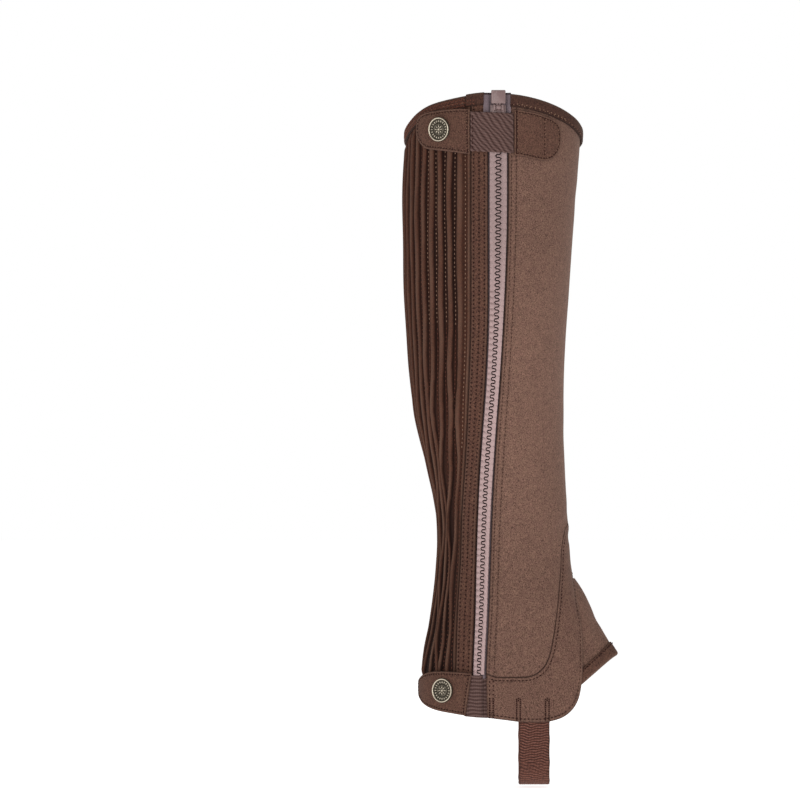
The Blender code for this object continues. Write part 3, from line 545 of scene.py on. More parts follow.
def tubeFaces(rings, size):
    # rings joined to a tube that is closed at both ends
    last = (rings - 1) * size
    return gridFaces(rings, size, wrap=True) + [list(range(size)), list(range(last, last + size))]


def copiedFaces(template, size, count):
    return [[i + size * k for i in face] for k in range(count) for face in template]


def twoSided(name, front, back, faces, look, nodes, crease, wornOrLit, inside=None):
    # the back of a wall has neither painted shade nor wear and painted highlight
    points = np.concatenate([front.reshape(-1, 3), back.reshape(-1, 3)])
    fields = {label: np.append(values, 0 * values) for label, values in (("crease", crease), ("wornOrLit", wornOrLit))}
    return makePiece(name, points, faces, look, nodes, fields=fields, inside=inside)


def wallPiece(name, front, back, look, nodes, crease, wornOrLit, lined=True):
    # a closed wall between two grids, the second one its hidden or inner face
    rows, columns = front.shape[:2]
    count = rows * columns
    faces = gridFaces(rows, columns)
    inside = range(len(faces), 2 * len(faces)) if lined else None
    faces += gridFaces(rows, columns, count)
    index = np.arange(count).reshape(rows, columns)
    rim = np.concatenate([index[0, :-1], index[:-1, -1], index[-1, :0:-1], index[:0:-1, 0]])
    faces += [[a, b, b + count, a + count] for a, b in zip(rim, np.roll(rim, -1))]
    return twoSided(name, front, back, faces, look, nodes, crease, wornOrLit, inside)


def heightShade(z):
    # painted shade toward the knee, where less light falls, and the suede a little darker below the ankle
    return 0.18 * blendStep(z, -110, 40) + 0.15 * blendStep(-z, 110, 290)


def clothWall(name, node, grid, look, seams, grooves=(), relief=0.0, crease=0.0, wornOrLit=0.0, thin=()):
    # cloth on the leg: seams roll down, sewn rows sink, folds run through; painted shade lies along seams and
    # sewn rows, and the roll beside a seam is paler for wear and painted highlight
    turn, z = grid[..., 0], grid[..., 1]
    place = onLeg(turn, z)
    d = nearness(place, seams)
    out = relief + rolledEdge(d, 1.0, 0.8) + foldOut(turn, z)
    crease = crease + 0.75 * bell(d, 0.7)
    # painted shade by height on the plain suede
    if look == "suede":
        crease = crease + heightShade(z)
    if thin:
        fine = nearness(place, thin)
        out = out + rolledEdge(fine, 0.5, 0.35)
        crease = crease + 0.7 * bell(fine, 0.42)
    for line, at in grooves:
        near = nearness(place, [line])
        out = out + sewnGroove(near, at)
        crease = crease + 0.22 * bell(near - at, 0.5)
    wornOrLit = wornOrLit + 0.22 * bell(d - 1.2, 0.6)
    return wallPiece(name, onLeg(turn, z, out), onLeg(turn, z, -wall + foldOut(turn, z)), look, (node,),
                     crease, wornOrLit)


def sweptPiece(name, stations, look, nodes, crease, wornOrLit):
    fields = {"crease": crease.ravel(), "wornOrLit": wornOrLit.ravel()}
    return makePiece(name, stations.reshape(-1, 3), tubeFaces(*stations.shape[:2]), look, nodes,
                     fields=fields, sharp=60)


# stitches
threadLooks = {
    "stitchesZipSide": "brownThread", "stitchesFront": "darkThread", "stitchesToe": "darkThread",
    "stitchesToeQuiet": "brownThread", "stitchesPleats": "paleThread", "stitchesPleatsRust": "rustThread",
    "stitchesPlacket": "darkThread", "stitchesTabs": "darkThread", "stitchesTabsPale": "paleThread",
    "stitchesPatch": "darkThread", "stitchesRim": "darkThread", "stitchesRimPale": "paleThread",
    "stitchesRimZigzag": "rustThread", "stitchesHem": "darkThread",
}
threads = {}
# one stitch's rings: place along it, thickness, rise
stitchRings = ((-1, 0.35, -0.55), (-0.62, 0.9, 0.1), (0, 1.0, 0.35), (0.62, 0.9, 0.1), (1, 0.35, -0.55))
ringSides = 6


def sewRow(group, line, out=0.0, pitch=2.4, length=1.5, radius=0.30, slant=0.0, lift=0.16, folds=True):
    turn, z = line[:, 0], line[:, 1]
    points = onLeg(turn, z, out + (foldOut(turn, z) if folds else 0.0))
    sewThrough(group, points, outward(turn, z), pitch, length, radius, slant, lift)


def sewThrough(group, points, up, pitch=2.4, length=1.5, radius=0.30, slant=0.0, lift=0.16):
    # short raised threads laid end to end along a line
    run = runLength(points)
    count = int(run[-1] / pitch)
    if count < 1:
        return
    marks = (np.arange(count) + 0.5) * run[-1] / count + chance.normal(0, 0.05, count)
    at = resampled(points, run, marks)
    ahead = unit(resampled(points, run, marks + 0.4) - resampled(points, run, marks - 0.4))
    side = unit(np.cross(resampled(up, run, marks), ahead))
    up = np.cross(ahead, side)
    angle = np.radians(slant) * np.where(np.arange(count) % 2, 1, -1) + chance.normal(0, 0.05, count)
    forward = ahead * np.cos(angle)[:, None] + side * np.sin(angle)[:, None]
    side = np.cross(up, forward)
    size = 1 + chance.normal(0, 0.06, count)
    rings = []
    for s, fat, rise in stitchRings:
        middle = at + forward * (s * length / 2 * size)[:, None]
        for a in np.radians(np.arange(ringSides) * 60):
            high = radius * fat * np.sin(a) + rise * radius + lift - radius * 0.4
            rings.append(middle + side * (radius * fat * np.cos(a)) + up * high)
    threads.setdefault(group, []).append(np.stack(rings, 1))


def buildThreads():
    template = tubeFaces(len(stitchRings), ringSides)
    for name, blocks in threads.items():
        look = threadLooks[name]
        points = np.concatenate(blocks)
        faces = copiedFaces(template, points.shape[1], len(points))
        makePiece(name, points.reshape(-1, 3), faces, look)
        print(name, len(points), "stitches")


# the leg's lines
lineSteps = 200
underBinding = 2.4  # how far the walls stop short of the rim and of the hem
rimLevel = 74.0
hemLevel = -328.0


def outerLine(column, bottom=None):
    top = rimZ(360 + turnAt("outer", smoothAt(rimLevel, zipLines, column), rimLevel)) - underBinding
    if bottom is None:
        bottom = hemZ(360 + turnAt("outer", smoothAt(hemLevel, zipLines, column), hemLevel)) + underBinding
    z = np.linspace(top, bottom, lineSteps)
    return sideLine("outer", smoothAt(z, zipLines, column), z) + np.array([360.0, 0.0])


def innerTurn(z):
    back = smoothAt(z, legForm, 1)
    width = np.where(np.asarray(z) > -245, smoothAt(z, legForm, 2) - back, 99.0)
    return turnAt("inner", back + smoothAt(z, innerSeam) * width, z)


def innerLine():
    z = np.linspace(rimZ(innerTurn(50.0)) - underBinding, hemZ(innerTurn(-324.0)) + underBinding, lineSteps)
    return np.stack([innerTurn(z), z], -1)


def backLine():
    z = np.linspace(rimZ(177.0) - underBinding, hemZ(158.0) + underBinding, lineSteps)
    return np.stack([smoothAt(z, backSeam), z], -1)


def edgeLine(start, end, heightOf, lift, count=60):
    turn = np.linspace(start[0], end[0], count)
    line = np.stack([turn, heightOf(turn) + lift], -1)
    line[0], line[-1] = start, end
    return line


def topLine(start, end, count=60):
    return edgeLine(start, end, rimZ, -underBinding, count)


def hemLine(start, end, count=60):
    return edgeLine(start, end, hemZ, underBinding, count)


seamToe = through([(float(turnAt(side, x, z)), z) for side, x, z in toeSeam], 180)
edgeToe = through([(float(turnAt(side, x, z)), z) for side, x, z in toeEdge], 180)
seamInner = innerLine()
seamBack = backLine()
seamPleats = outerLine(1)
edgePlacket = outerLine(2)
edgeFront = outerLine(3, seamToe[0][1]) - np.array([360.0, 0.0])
seamToe[0][0] = edgeFront[-1][0]


# walls
frontPanelPlan = dict(zipRows=(2.0, 5.5), toeRow=2.2, innerRow=2.2, flat=(0.262, 0.405), area=0.0634)


def buildFrontPanel():
    plan = frontPanelPlan
    hem = hemLine(seamToe[-1], seamInner[-1], 41)
    right = shifted(seamInner, -seamGap / 2)
    lowerSeam = shifted(seamToe, 0.1)
    lowerSeam[0], lowerSeam[-1] = seamToe[0], seamToe[-1]
    lower = np.vstack([lowerSeam, hem[1:-1], right[-1:]])
    top = topLine(edgeFront[0], seamInner[0], len(lower))
    top[-1] = right[0]
    grid = fittedGrid([top, lower, edgeFront, right], 96, 118)
    grooves = [(edgeFront, at) for at in plan["zipRows"]] + [(right, plan["innerRow"])]
    piece = clothWall("frontPanel", "front_panel", grid, "suede", [edgeFront, right], grooves,
                      thin=[lowerSeam])
    for at in plan["zipRows"]:
        sewRow("stitchesZipSide", shifted(edgeFront, at)[3:], -0.12, 2.5, 1.3, 0.30)
    sewRow("stitchesFront", shifted(seamInner, -plan["innerRow"])[3:-3], -0.12, 2.6, 1.6, 0.32)


toePiecePlan = dict(seamRow=2.3, edgeRow=2.2, flat=(0.098, 0.19), area=0.0070)


def buildToePiece():
    plan = toePiecePlan
    top = shifted(seamToe, -0.1)
    ends = [np.linspace(top[i], edgeToe[i], 40) for i in (0, -1)]
    edges = [top, edgeToe, *ends]
    # rows of this strip run along the seam, so the fine steps across it are the grid's downward ones
    u = np.linspace(0, 1, 241)
    width = np.linalg.norm(onLeg(*top.T) - onLeg(*edgeToe.T), axis=1)
    widthAt = np.interp(u, np.linspace(0, 1, len(width)), width)
    marks = np.array([marksAlong(w, 12, edgeSteps[:9]) / w for w in widthAt])
    grid = np.array([insideEdges(edges, u, row) for row in marks.T])
    low = seamToe[:78]
    grooves = [(low, plan["seamRow"]), (edgeToe, plan["edgeRow"])]
    piece = clothWall("toePiece", "toe_piece", grid, "suedeToe", [edgeToe, *ends], grooves,
                      thin=[top])
    sewRow("stitchesToe", shifted(low, -plan["seamRow"])[2:], -0.12, 2.5, 1.5, 0.36)
    sewRow("stitchesToeQuiet", shifted(seamToe[77:], -plan["seamRow"])[:-2], -0.16, 2.5, 1.2, 0.24)
    turned = np.argmax(edgeToe[:, 0] > -58)  # where the bottom edge turns up
    bottomRow = shifted(edgeToe, plan["edgeRow"])
    sewRow("stitchesToe", bottomRow[2:turned], -0.12, 2.6, 1.6, 0.34)
    sewRow("stitchesToeQuiet", bottomRow[turned:-2], -0.12, 2.6, 1.5, 0.30)
    buildBars()


# bars of stitches: x, top, bottom, pitch, length, radius
zipEndBars = [(x, *bar) for x in (0.0, 2.4)
              for bar in ((-325.5, -339.5, 1.5, 1.35, 0.62), (-313.5, -325.0, 2.5, 1.4, 0.42))]
strapBars = [(x, -326.0, -341.0, 1.35, 1.3, 0.46) for x in (18.0, 20.4, 37.2, 39.6)]
strapBars += [(x, -325.6, -328.0, 1.2, 1.2, 0.42) for x in (19.2, 38.4)]
strapBox = ((21.6, -322.2), (21.6, -316.6), (38.2, -316.6), (38.2, -322.2))  # on the inner side


def buildBars():
    # the heavy rows where the zip ends, then what holds the foot strap
    for x, top, bottom, pitch, length, radius in zipEndBars + strapBars:
        line = sideLine("outer", x, np.linspace(top, bottom, 20))
        sewRow("stitchesToe", line, 0.0, pitch, length, radius)
    for start, end in zip(strapBox, strapBox[1:]):
        x, z = np.linspace(start, end, 20).T
        sewRow("stitchesFront", sideLine("inner", x, z), 0.0, 2.4, 1.5, 0.34)


stripPlan = dict(row=2.2, flat=(0.036, 0.385), area=0.0101)


def buildBackStrip():
    plan = stripPlan
    left, right = shifted(seamInner, seamGap / 2), shifted(seamBack, -seamGap / 2)
    edges = [topLine(left[0], right[0]), hemLine(left[-1], right[-1]), left, right]
    grid = fittedGrid(edges, 14, 150)
    piece = clothWall("backStrip", "back_strip", grid, "suede", [left, right],
                      [(left, plan["row"]), (right, plan["row"])])
    for line in (shifted(seamInner, 2.4), shifted(seamBack, -2.4)):
        sewRow("stitchesFront", line[3:-3], -0.12, 2.6, 1.6, 0.32)


pleatPlan = dict(count=10, height=1.7, flat=(0.097, 0.397), area=0.0300)
# from one stitched hollow to the next: place, height, painted shade, wear and painted highlight
pleatShape = (
    (0.0, -0.16, 0.80, 0), (0.06, -0.20, 0.84, 0), (0.13, -0.40, 1.0, 0), (0.18, -0.36, 0.95, 0),
    (0.225, 0.12, 0.5, 0.1), (0.27, 0.55, 0.12, 0.32), (0.33, 0.84, 0, 0.46), (0.41, 0.97, 0, 0.52),
    (0.50, 1.0, 0, 0.52), (0.58, 0.97, 0, 0.48), (0.66, 0.85, 0, 0.40), (0.72, 0.56, 0.15, 0.28),
    (0.765, 0.12, 0.6, 0.08), (0.81, -0.42, 1.0, 0), (0.86, -0.45, 1.0, 0), (0.93, -0.22, 0.88, 0),
)


def pleatFade(z, top, bottom):
    return blendStep(np.minimum(top - z, z - bottom), 6.2, 11.5)


def pleatSway(pleat, z):
    # how far each fold wanders sideways, in shares of a pleat: most at the ankle and below it
    loose = (0.10 + 0.20 * blendStep(-z, 60, 150) + 0.45 * bell(z + 205, 45)
             + 0.45 * blendStep(-z, 225, 300))
    wander = (np.sin(z / 17.0 + pleat * 2.1) + 0.7 * np.sin(z / 8.7 + pleat * 4.4)
              + 0.8 * np.sin(z / 41.0 + pleat * 1.3))
    return loose * wander * 0.36


def buildPleatPanel():
    # the last half pleat ends at the placket's seam, and the hollow before it is shallow
    plan = pleatPlan
    left, right = shifted(seamBack, seamGap / 2), shifted(seamPleats, -seamGap / 2)
    edges = [topLine(left[0], right[0], 121), hemLine(left[-1], right[-1], 121), left, right]
    count, size = plan["count"], len(pleatShape)
    table = np.array([(k, k + row[0], *row[1:]) for k in range(count + 1) for row in pleatShape])
    table = table[table[:, 1] <= count + 0.52]
    pleat, place, form, dark, paled = table.T
    shallow = np.where(np.abs(place - count) < 0.27, 0.42, 1.0)
    last = place > count + 0.2
    form = np.where(last, 0.16, form * shallow)
    dark = np.where(last, 0.0, dark * np.where(shallow < 1, 0.5, 1.0))
    paled = np.where(last, 0.40, np.where(shallow < 1, np.maximum(paled, 0.16), paled))
    u0, v = np.meshgrid(place / (count + 0.5), np.linspace(0, 1, 200))
    z = insideEdges(edges, np.minimum(u0, 1), v)[..., 1]
    hold = np.clip(np.minimum(u0 / 0.05, (1 - u0) / 0.13), 0, 1)
    loose = bell(z + 215, 46) + blendStep(-z, 230, 300)
    breadth = 1 - 0.16 * loose * (0.6 + 0.4 * np.sin(pleat * 2.7)) + 0.10 * np.sin(z / 31.0 + pleat * 2.3)
    centred = place - pleat - 0.5
    body = np.clip((0.40 - np.abs(centred)) / 0.06, 0, 1)
    sway = pleatSway(pleat, z) + centred * (breadth - 1) * body
    rough = np.sin(z / 1.45 + pleat * 1.7) * 0.6 + np.sin(z / 2.6 + pleat * 3.1 + np.sin(z / 19.0))
    edgeOf = bell(np.abs(centred) - 0.29, 0.10)
    sway = sway + 0.022 * rough * edgeOf * (0.5 + blendStep(-z, 60, 160))
    u = u0 + sway / (count + 0.5) * hold
    u = np.maximum.accumulate(u + np.arange(u.shape[1]) * 1e-6, axis=1)
    u[:, 0], u[:, -1] = 0, 1
    u = np.clip(u, 0, 1)
    grid = insideEdges(edges, u, v)
    z = grid[..., 1]
    fade = pleatFade(z, grid[0, :, 1], grid[-1, :, 1])
    full = 0.88 + 0.14 * np.sin(z / 23.0 + pleat * 1.9) + 0.09 * np.sin(z / 9.3 + pleat * 3.7)
    relief = plan["height"] * fade * form * np.where(form > 0.2, full, 1.0)
    # painted shade in the hollows, a little less along the stitched line itself, and low down on the folds'
    # flanks as well
    band = bell(np.abs(centred) - 0.5, 0.10)
    dark = dark - 0.34 * band * np.maximum(blendStep(-z, 40, 110), place < 6.2)
    flanks = 0.06 + 0.62 * blendStep(np.abs(centred), 0.14, 0.33)
    crease = np.clip(dark, 0, 1) * (0.35 + 0.65 * fade) + flanks * blendStep(-z, 170, 270)
    # the ridges get a paler tone for wear and painted highlight, streaked low down and weaker on the first
    # pleats, which stand in shade
    streak = 0.5 + 0.5 * np.sin(z / 9.0 + pleat * 2.9 + 1.3 * np.sin(z / 21.0 + pleat))
    wornOrLit = paled * (0.86 + 0.20 * np.sin(z / 13.0 + pleat * 2.9))
    wornOrLit = wornOrLit * (1 + (0.8 * streak - 0.32) * blendStep(-z, 120, 260))
    wornOrLit = wornOrLit * (1 - 0.45 * blendStep(4.5 - place, 0, 3))
    piece = clothWall("pleatPanel", "pleat_panel", grid, "suedePleats", [left, right], (),
                      relief, crease=crease, wornOrLit=wornOrLit)
    # a row of stitches holds each hollow down, pale thread on the upper outer side, rust elsewhere
    for k in range(1, count + 1):
        column = k * size
        pale = (k > 5) & (z[:, column] > (-78 if k < 10 else -160))
        line, high, sewn = grid[:, column], relief[:, column] + 0.06, fade[:, column] > 0.5
        for group, chosen, radius in (("stitchesPleats", pale, 0.30), ("stitchesPleatsRust", ~pale, 0.28)):
            keep = chosen & sewn
            if keep.sum() > 4:
                sewRow(group, line[keep], high[keep], 2.9, 1.3, radius, lift=0.12)


placketPlan = dict(rows=(1.9, 5.6, 9.2), flat=(0.0142, 0.397), area=0.0051)


def buildPlacket():
    plan = placketPlan
    left = shifted(seamPleats, seamGap / 2)
    edges = [topLine(left[0], edgePlacket[0]), hemLine(left[-1], edgePlacket[-1]), left, edgePlacket]
    grid = fittedGrid(edges, 14, 150, edgeSteps[:5])
    piece = clothWall("zipPlacket", "zip_placket", grid, "suedePlacket", [left, edgePlacket],
                      [(left, at) for at in plan["rows"]])
    for k, at in enumerate(plan["rows"]):
        share = at / 11.6
        line = (1 - share) * seamPleats + share * edgePlacket
        sewRow("stitchesPlacket", line[3 + k:], -0.06, 2.75, 1.2, 0.56)


buildFrontPanel()
buildToePiece()
buildBackStrip()
buildPleatPanel()
buildPlacket()
print("walls built")


# patch and tabs
# where a laid piece's rings lie: depths in from its edge, then shares of the rest of the way to its middle
ringDepths = (0, 0.2, 0.5, 0.9, 1.35, 1.8, 2.4, 3.1, 4.0)
ringShares = (0.15, 0.3, 0.45, 0.6, 0.75, 0.9)


def layPiece(name, node, outline, spine, low, thick, look, rows=(), folds=True):
    # a cut piece with a rounded outline, laid over the leg; rings run inwards from its edge
    middle = outline[:, 0].mean()

    def flat(line):
        return np.stack([(line[:, 0] - middle) * skinSpeed(middle, line[:, 1]), line[:, 1]], -1)

    edge = flat(outline)
    core = flat(spine)
    run = runLength(core)
    core = resampled(core, run, np.linspace(0, run[-1], 160))
    gap = np.linalg.norm(edge[:, None] - core[None], axis=-1)
    inward = core[gap.argmin(1)] - edge
    reach = gap.min(1)[:, None]
    steps = [np.minimum(d / reach, 0.8) for d in ringDepths]
    steps += [steps[-1] + (0.94 - steps[-1]) * share for share in ringShares]
    rings = np.array([edge + inward * step for step in steps])
    depths = np.array([(reach * step)[:, 0] for step in steps])
    z = rings[..., 1]
    turn = middle + rings[..., 0] / skinSpeed(middle, z)
    lift = foldOut(turn, z) if folds else 0.0
    out = low + thick + rolledEdge(depths, 0.8, 0.65)
    # painted shade along its edge and in its sewn rows; the roll inside its edge gets wear and painted highlight
    crease = 0.5 * bell(depths, 0.35)
    for at in rows:
        out = out + sewnGroove(depths, at, 0.3, 0.55)
        crease = crease + 0.25 * bell(depths - at, 0.5)
    # painted shade by height on the plain suede
    if look == "suede":
        crease = crease + heightShade(z)
    top, under = onLeg(turn, z, out + lift), onLeg(turn, z, low + lift)
    ringCount, size = depths.shape
    total = ringCount * size
    faces = gridFaces(ringCount, size, wrap=True) + gridFaces(ringCount, size, total, wrap=True)
    faces += [[k, (k + 1) % size, (k + 1) % size + total, k + total] for k in range(size)]
    faces += fillBand(total - size, size) + fillBand(2 * total - size, size)
    return twoSided(name, top, under, faces, look, (node,), crease, 0.30 * bell(depths - 0.8, 0.45))


def fillBand(start, count):
    # closes the narrow middle of a ring by joining points that face each other
    faces = []
    for k in range((count - 1) // 2):
        a, b = start + k, start + k + 1
        c, d = start + count - 2 - k, start + count - 1 - k
        if b < c:
            faces.append([a, b, c, d])
        elif b == c:
            faces.append([a, b, d])
    return faces


def sideOutline(side, points, low):
    points = np.array(points, float)
    return sideLine(side, points[:, 0], points[:, 1], low)


def tabOutline(table, low, skew=0.0):
    # from the middle of the straight end round the rounded one and back
    def leant(x, z):
        return x + skew * (z + 323) * min(max((x + 34) / 18, 0), 1)

    top = [(leant(x, high), high) for x, _, high in table][::-1]
    bottom = [(leant(x, base), base) for x, base, _ in table]
    curve = through(top + bottom, 90)
    steps = 14
    closing = np.linspace(curve[-1], curve[0], 2 * steps + 1)[1:-1]
    loop = np.vstack([closing[steps - 1:], curve, closing[:steps - 1]])
    return sideOutline("outer", loop, low)


def insetLine(outline, distance):
    return shifted(np.vstack([outline, outline[:1]]), distance)


upperTab = ((-48, 51.5, 56.5), (-47.2, 47, 59.5), (-44.7, 42.5, 62.6), (-41, 39.8, 64.2), (-33, 38.6, 65.5),
            (-21.2, 37, 66.4), (-13.2, 36, 66))
lowerTab = ((-46.4, -323, -316), (-45.9, -326, -313.5), (-44, -329.5, -311), (-40, -332.5, -309),
            (-33.4, -334.7, -308.2), (-22, -336.5, -308.6), (-14.2, -337.6, -309.4))
anchorTab = ((15.9, 35.4, 65.8), (22, 34.4, 65.2), (30, 32.6, 63.8), (36, 31.8, 62), (41, 33.2, 60),
             (44.6, 37, 57.4), (46.4, 42, 53.8), (46.9, 46, 50))
tabPlans = {
    "upperTab": dict(node="upper_tab", table=upperTab, low=2.5, spine=((-34, 52), (-25, 51.5)),
                     flat=(0.031, 0.042), area=0.00118),
    "lowerTab": dict(node="lower_tab", table=lowerTab, low=2.5, skew=0.145,
                     spine=((-34, -321), (-25, -322.5)), flat=(0.030, 0.042), area=0.00122),
    "anchorTab": dict(node="anchor_tab", table=anchorTab[::-1], low=underLay, spine=((28, 49.5), (34, 48)),
                      flat=(0.034, 0.045), area=0.00112),
}


# the anchor's second row at the elastic and its inner upright row: x, top, bottom
anchorRows = ((17.9, 62.4, 36.5), (36.6, 60.0, 35.0))
anchorLevel = 1.85


def buildTabs():
    for name, plan in tabPlans.items():
        low = plan["low"]
        outline = tabOutline(plan["table"], low, plan.get("skew", 0.0))
        spine = sideOutline("outer", plan["spine"], low)
        piece = layPiece(name, plan["node"], outline, spine, low, 1.4, "suedeDark", (1.8,), False)
        ahead = np.roll(outline, -1, axis=0)
        inside = 1.8 * np.sign(np.sum(outline[:, 0] * ahead[:, 1] - ahead[:, 0] * outline[:, 1]))
        sewRow("stitchesTabs", insetLine(outline, inside), low + 1.28, 2.15, 1.15, 0.48, folds=False)
        sewRow("stitchesTabsPale", insetLine(outline, inside * 1.25), low + 1.34, 4.6, 0.8,
               0.26 if name == "anchorTab" else 0.2, folds=False)
    for x, top, bottom in anchorRows:
        z = np.linspace(top, bottom, 30)
        for group, aside, lift, sizes in (("stitchesTabs", 0.0, 0.0, (2.1, 1.15, 0.48)),
                                          ("stitchesTabsPale", 0.5, 0.1, (4.1, 0.9, 0.26))):
            line = sideLine("outer", x + aside, z, anchorLevel)
            sewRow(group, line, anchorLevel + lift, *sizes, folds=False)


patchRows = (
    (8, 7, 14), (7.2, 1.5, 18.8), (5.5, -5.5, 25), (2.8, -12.5, 31.2), (-0.5, -19, 36.4), (-4.7, -24.2, 41),
    (-11, -28.6, 46), (-19.6, -31.2, 49.2), (-34.5, -33.8, 49.6), (-60, -33, 47.6), (-86, -31, 45.4),
    (-117, -26.4, 38.4), (-142, -22, 32), (-172, -15.5, 28), (-197, -7.4, 26.8), (-221, 0.2, 26.6),
    (-236, 6, 23.6), (-242.5, 11, 20.5), (-245, 14.5, 18),
)
patchPlan = dict(rows=(1.5, 5.6), flat=(0.104, 0.253), area=0.0166)


def buildPatch():
    front = [(float(turnAt("inner", x, z)), z) for z, _, x in patchRows]
    back = [(float(turnAt("inner", x, z)), z) for z, x, _ in patchRows]
    squeeze = np.array([0.92, 1.0])
    scaled = np.array(front + back[::-1]) * squeeze
    curve = through(np.vstack([scaled, scaled[:1]]), 320)[:-1] / squeeze
    middle = np.array([((f[0] + b[0]) / 2, f[1]) for f, b in zip(front, back)])
    spine = middle[(middle[:, 1] < -35) & (middle[:, 1] > -228)]
    curve = np.roll(curve, -int(np.argmax(curve[:, 1])), axis=0)
    piece = layPiece("calfPatch", "calf_patch", curve, spine, 0.65, 1.1, "suede", patchPlan["rows"])
    for at in patchPlan["rows"]:
        sewRow("stitchesPatch", insetLine(curve, at), 1.63, 3.2, 1.9, 0.34)


buildTabs()
buildPatch()
print("tabs and patch built")


# bindings
def bindingOutline(height):
    h = height
    return np.array([
        (0.45, h), (0.95, h + 0.02), (1.4, h - 0.22), (1.62, h - 0.7), (1.55, h - 1.25), (1.62, h - 1.9),
        (1.80, h - 2.8), (1.86, h * 0.5), (1.80, h * 0.32), (1.62, 1.25), (1.2, 0.55), (0.5, 0.12),
        (-0.5, 0.0), (-1.6, 0.0), (-2.5, 0.12), (-3.1, 0.6), (-3.42, 1.4), (-3.5, h * 0.5), (-3.45, h - 1.1),
        (-3.1, h - 0.55), (-2.45, h - 0.4), (-2.45, 1.95), (0.45, 1.95)])


def buildBinding(name, node, turns, edgeOf, down, height):
    outline = bindingOutline(height)
    turn = turns[:, None]
    run = runLength(onLeg(turns, edgeOf(turns)))
    pucker = (0.5 + 0.5 * np.sin(run * 2 * np.pi / 5.2 + 0.7 * np.sin(run / 11)))[:, None]
    swell = (0.10 * np.sin(run / 9.0) + 0.07 * np.sin(run / 4.1 + 1))[:, None]
    outs, depth = outline[:, 0][None], outline[:, 1][None]
    outer = np.clip((outs - 0.3) / 1.4, 0, 1)
    out = outs + outer * (swell - 0.16 * pucker * (depth > height - 2.4)) + foldOut(turn, edgeOf(turn))
    points = onLeg(turn, edgeOf(turn) - down * depth, out)
    # painted shade along the binding's edge where it meets the wall and in its puckers; its folded edge gets
    # wear and painted highlight
    crease = (np.where((outs > 0) & (depth > height - 0.6), 0.55, 0.0)
              + 0.3 * ((depth > height - 1.6) & (outs > 1.3)) + 0.12 * pucker * outer)
    wornOrLit = 0.32 * bell(depth - 0.45, 0.8) * (outs > -1.8) + 0 * pucker
    piece = sweptPiece(name, points, "suedeBinding", (node,), crease, wornOrLit)
    return piece


def rowBelow(turns, heightOf, drop):
    return np.stack([turns, heightOf(turns) - drop], -1)


def buildBindings():
    start, end = turnAt("outer", 13.6, rimLevel), 360 + turnAt("outer", -16.2, rimLevel)
    turns = np.linspace(start, end, 330)
    buildBinding("rimBinding", "rim_binding", turns, rimZ, 1, 8.5)
    row = rowBelow(turns, rimZ, 7.2)
    sewRow("stitchesRim", row[:250], 1.52, 2.6, 1.5, 0.30)
    sewRow("stitchesRimPale", row[:250] + np.array([0, 0.1]), 1.60, 3.9, 0.9, 0.30)
    sewRow("stitchesRimPale", row[3:44] + np.array([0, 0.9]), 1.66, 3.1, 1.0, 0.36, 30)
    # behind the leg the binding is held by a dense zigzag
    back = turns[250:]
    for drop, level, pitch in ((2.2, 1.80, 1.5), (4.3, 1.80, 1.4), (6.6, 1.60, 1.5)):
        sewRow("stitchesRimZigzag", rowBelow(back, rimZ, drop), level, pitch, 2.2, 0.42, 48)
    sewRow("stitchesRimPale", rowBelow(back, rimZ, 4.4), 1.90, 3.4, 1.1, 0.24, 40)
    start, end = 360 + turnAt("outer", -15.6, rimLevel), 360 + turnAt("outer", -4.0, rimLevel)
    turns = np.linspace(start, end, 26)
    buildBinding("placketBinding", "placket_binding", turns, lambda t: rimZ(t) + 0.9, 1, 8.5)
    for drop in (3.6, 6.0):
        sewRow("stitchesRimZigzag", rowBelow(turns[1:14], rimZ, drop), 1.82, 1.5, 2.2, 0.38, 48)
    start, end = turnAt("inner", 49.0, hemLevel), 360 + turnAt("outer", -17.6, hemLevel)
    turns = np.linspace(start, end, 190)
    buildBinding("hemBinding", "hem_binding", turns, hemZ, -1, 7.0)
    sewRow("stitchesHem", rowBelow(turns, hemZ, -5.7), 1.52, 2.6, 1.5, 0.30)


buildBindings()
print("bindings built")


# elastics and the foot strap
# edges: x, bottom, top; levels: x and how far the elastic stands off the leg
upperElastic = dict(
    flat=(0.028, 0.0262), ribs=3.5, lean=0.82, depth=0.42, wave=0.18, span=(-12.8, 15.4), wide=26,
    edges=((-12.8, 38.1, 64.4), (-2, 37.6, 64.0), (7, 37.2, 63.6), (11, 37.0, 63.4), (15.4, 36.8, 63.4)),
    levels=((-12.8, -2, 7, 11, 13.2, 15.4), (2.5, 2.5, 2.5, 2.4, 1.5, 0.45)),
)
lowerElastic = dict(
    flat=(0.0136, 0.0284), gather=2.4, depth=0.40, span=(-14.6, -1.0), wide=28,
    edges=((-14.6, -338, -310.6), (-11.6, -338.4, -310.8), (-8, -338.8, -311), (-5.2, -339, -311),
           (-1.0, -339.2, -311)),
    levels=((-14.6, -12.6, -8, -5.8, -4.4, -3.4, -1.0), (1.0, 1.0, 0.6, -0.5, -1.7, -3.2, -3.3)),
)


def elasticGrid(plan, columns, rows, wave=0.0):
    # x, heights, base level and rolled edge of a short elastic
    x = np.linspace(*plan["span"], columns)[None]
    share = np.linspace(0, 1, rows)[:, None]
    low, high = smoothAt(x, plan["edges"], 1), smoothAt(x, plan["edges"], 2)
    if wave:
        low, high = (edge + wave * np.sin(x * 2 * np.pi / plan["ribs"]) for edge in (low, high))
    roll = rolledEdge(np.minimum(share, 1 - share) * plan["wide"], 0.6, 0.4)
    return x, high * (1 - share) + low * share, np.interp(x, *plan["levels"]), roll


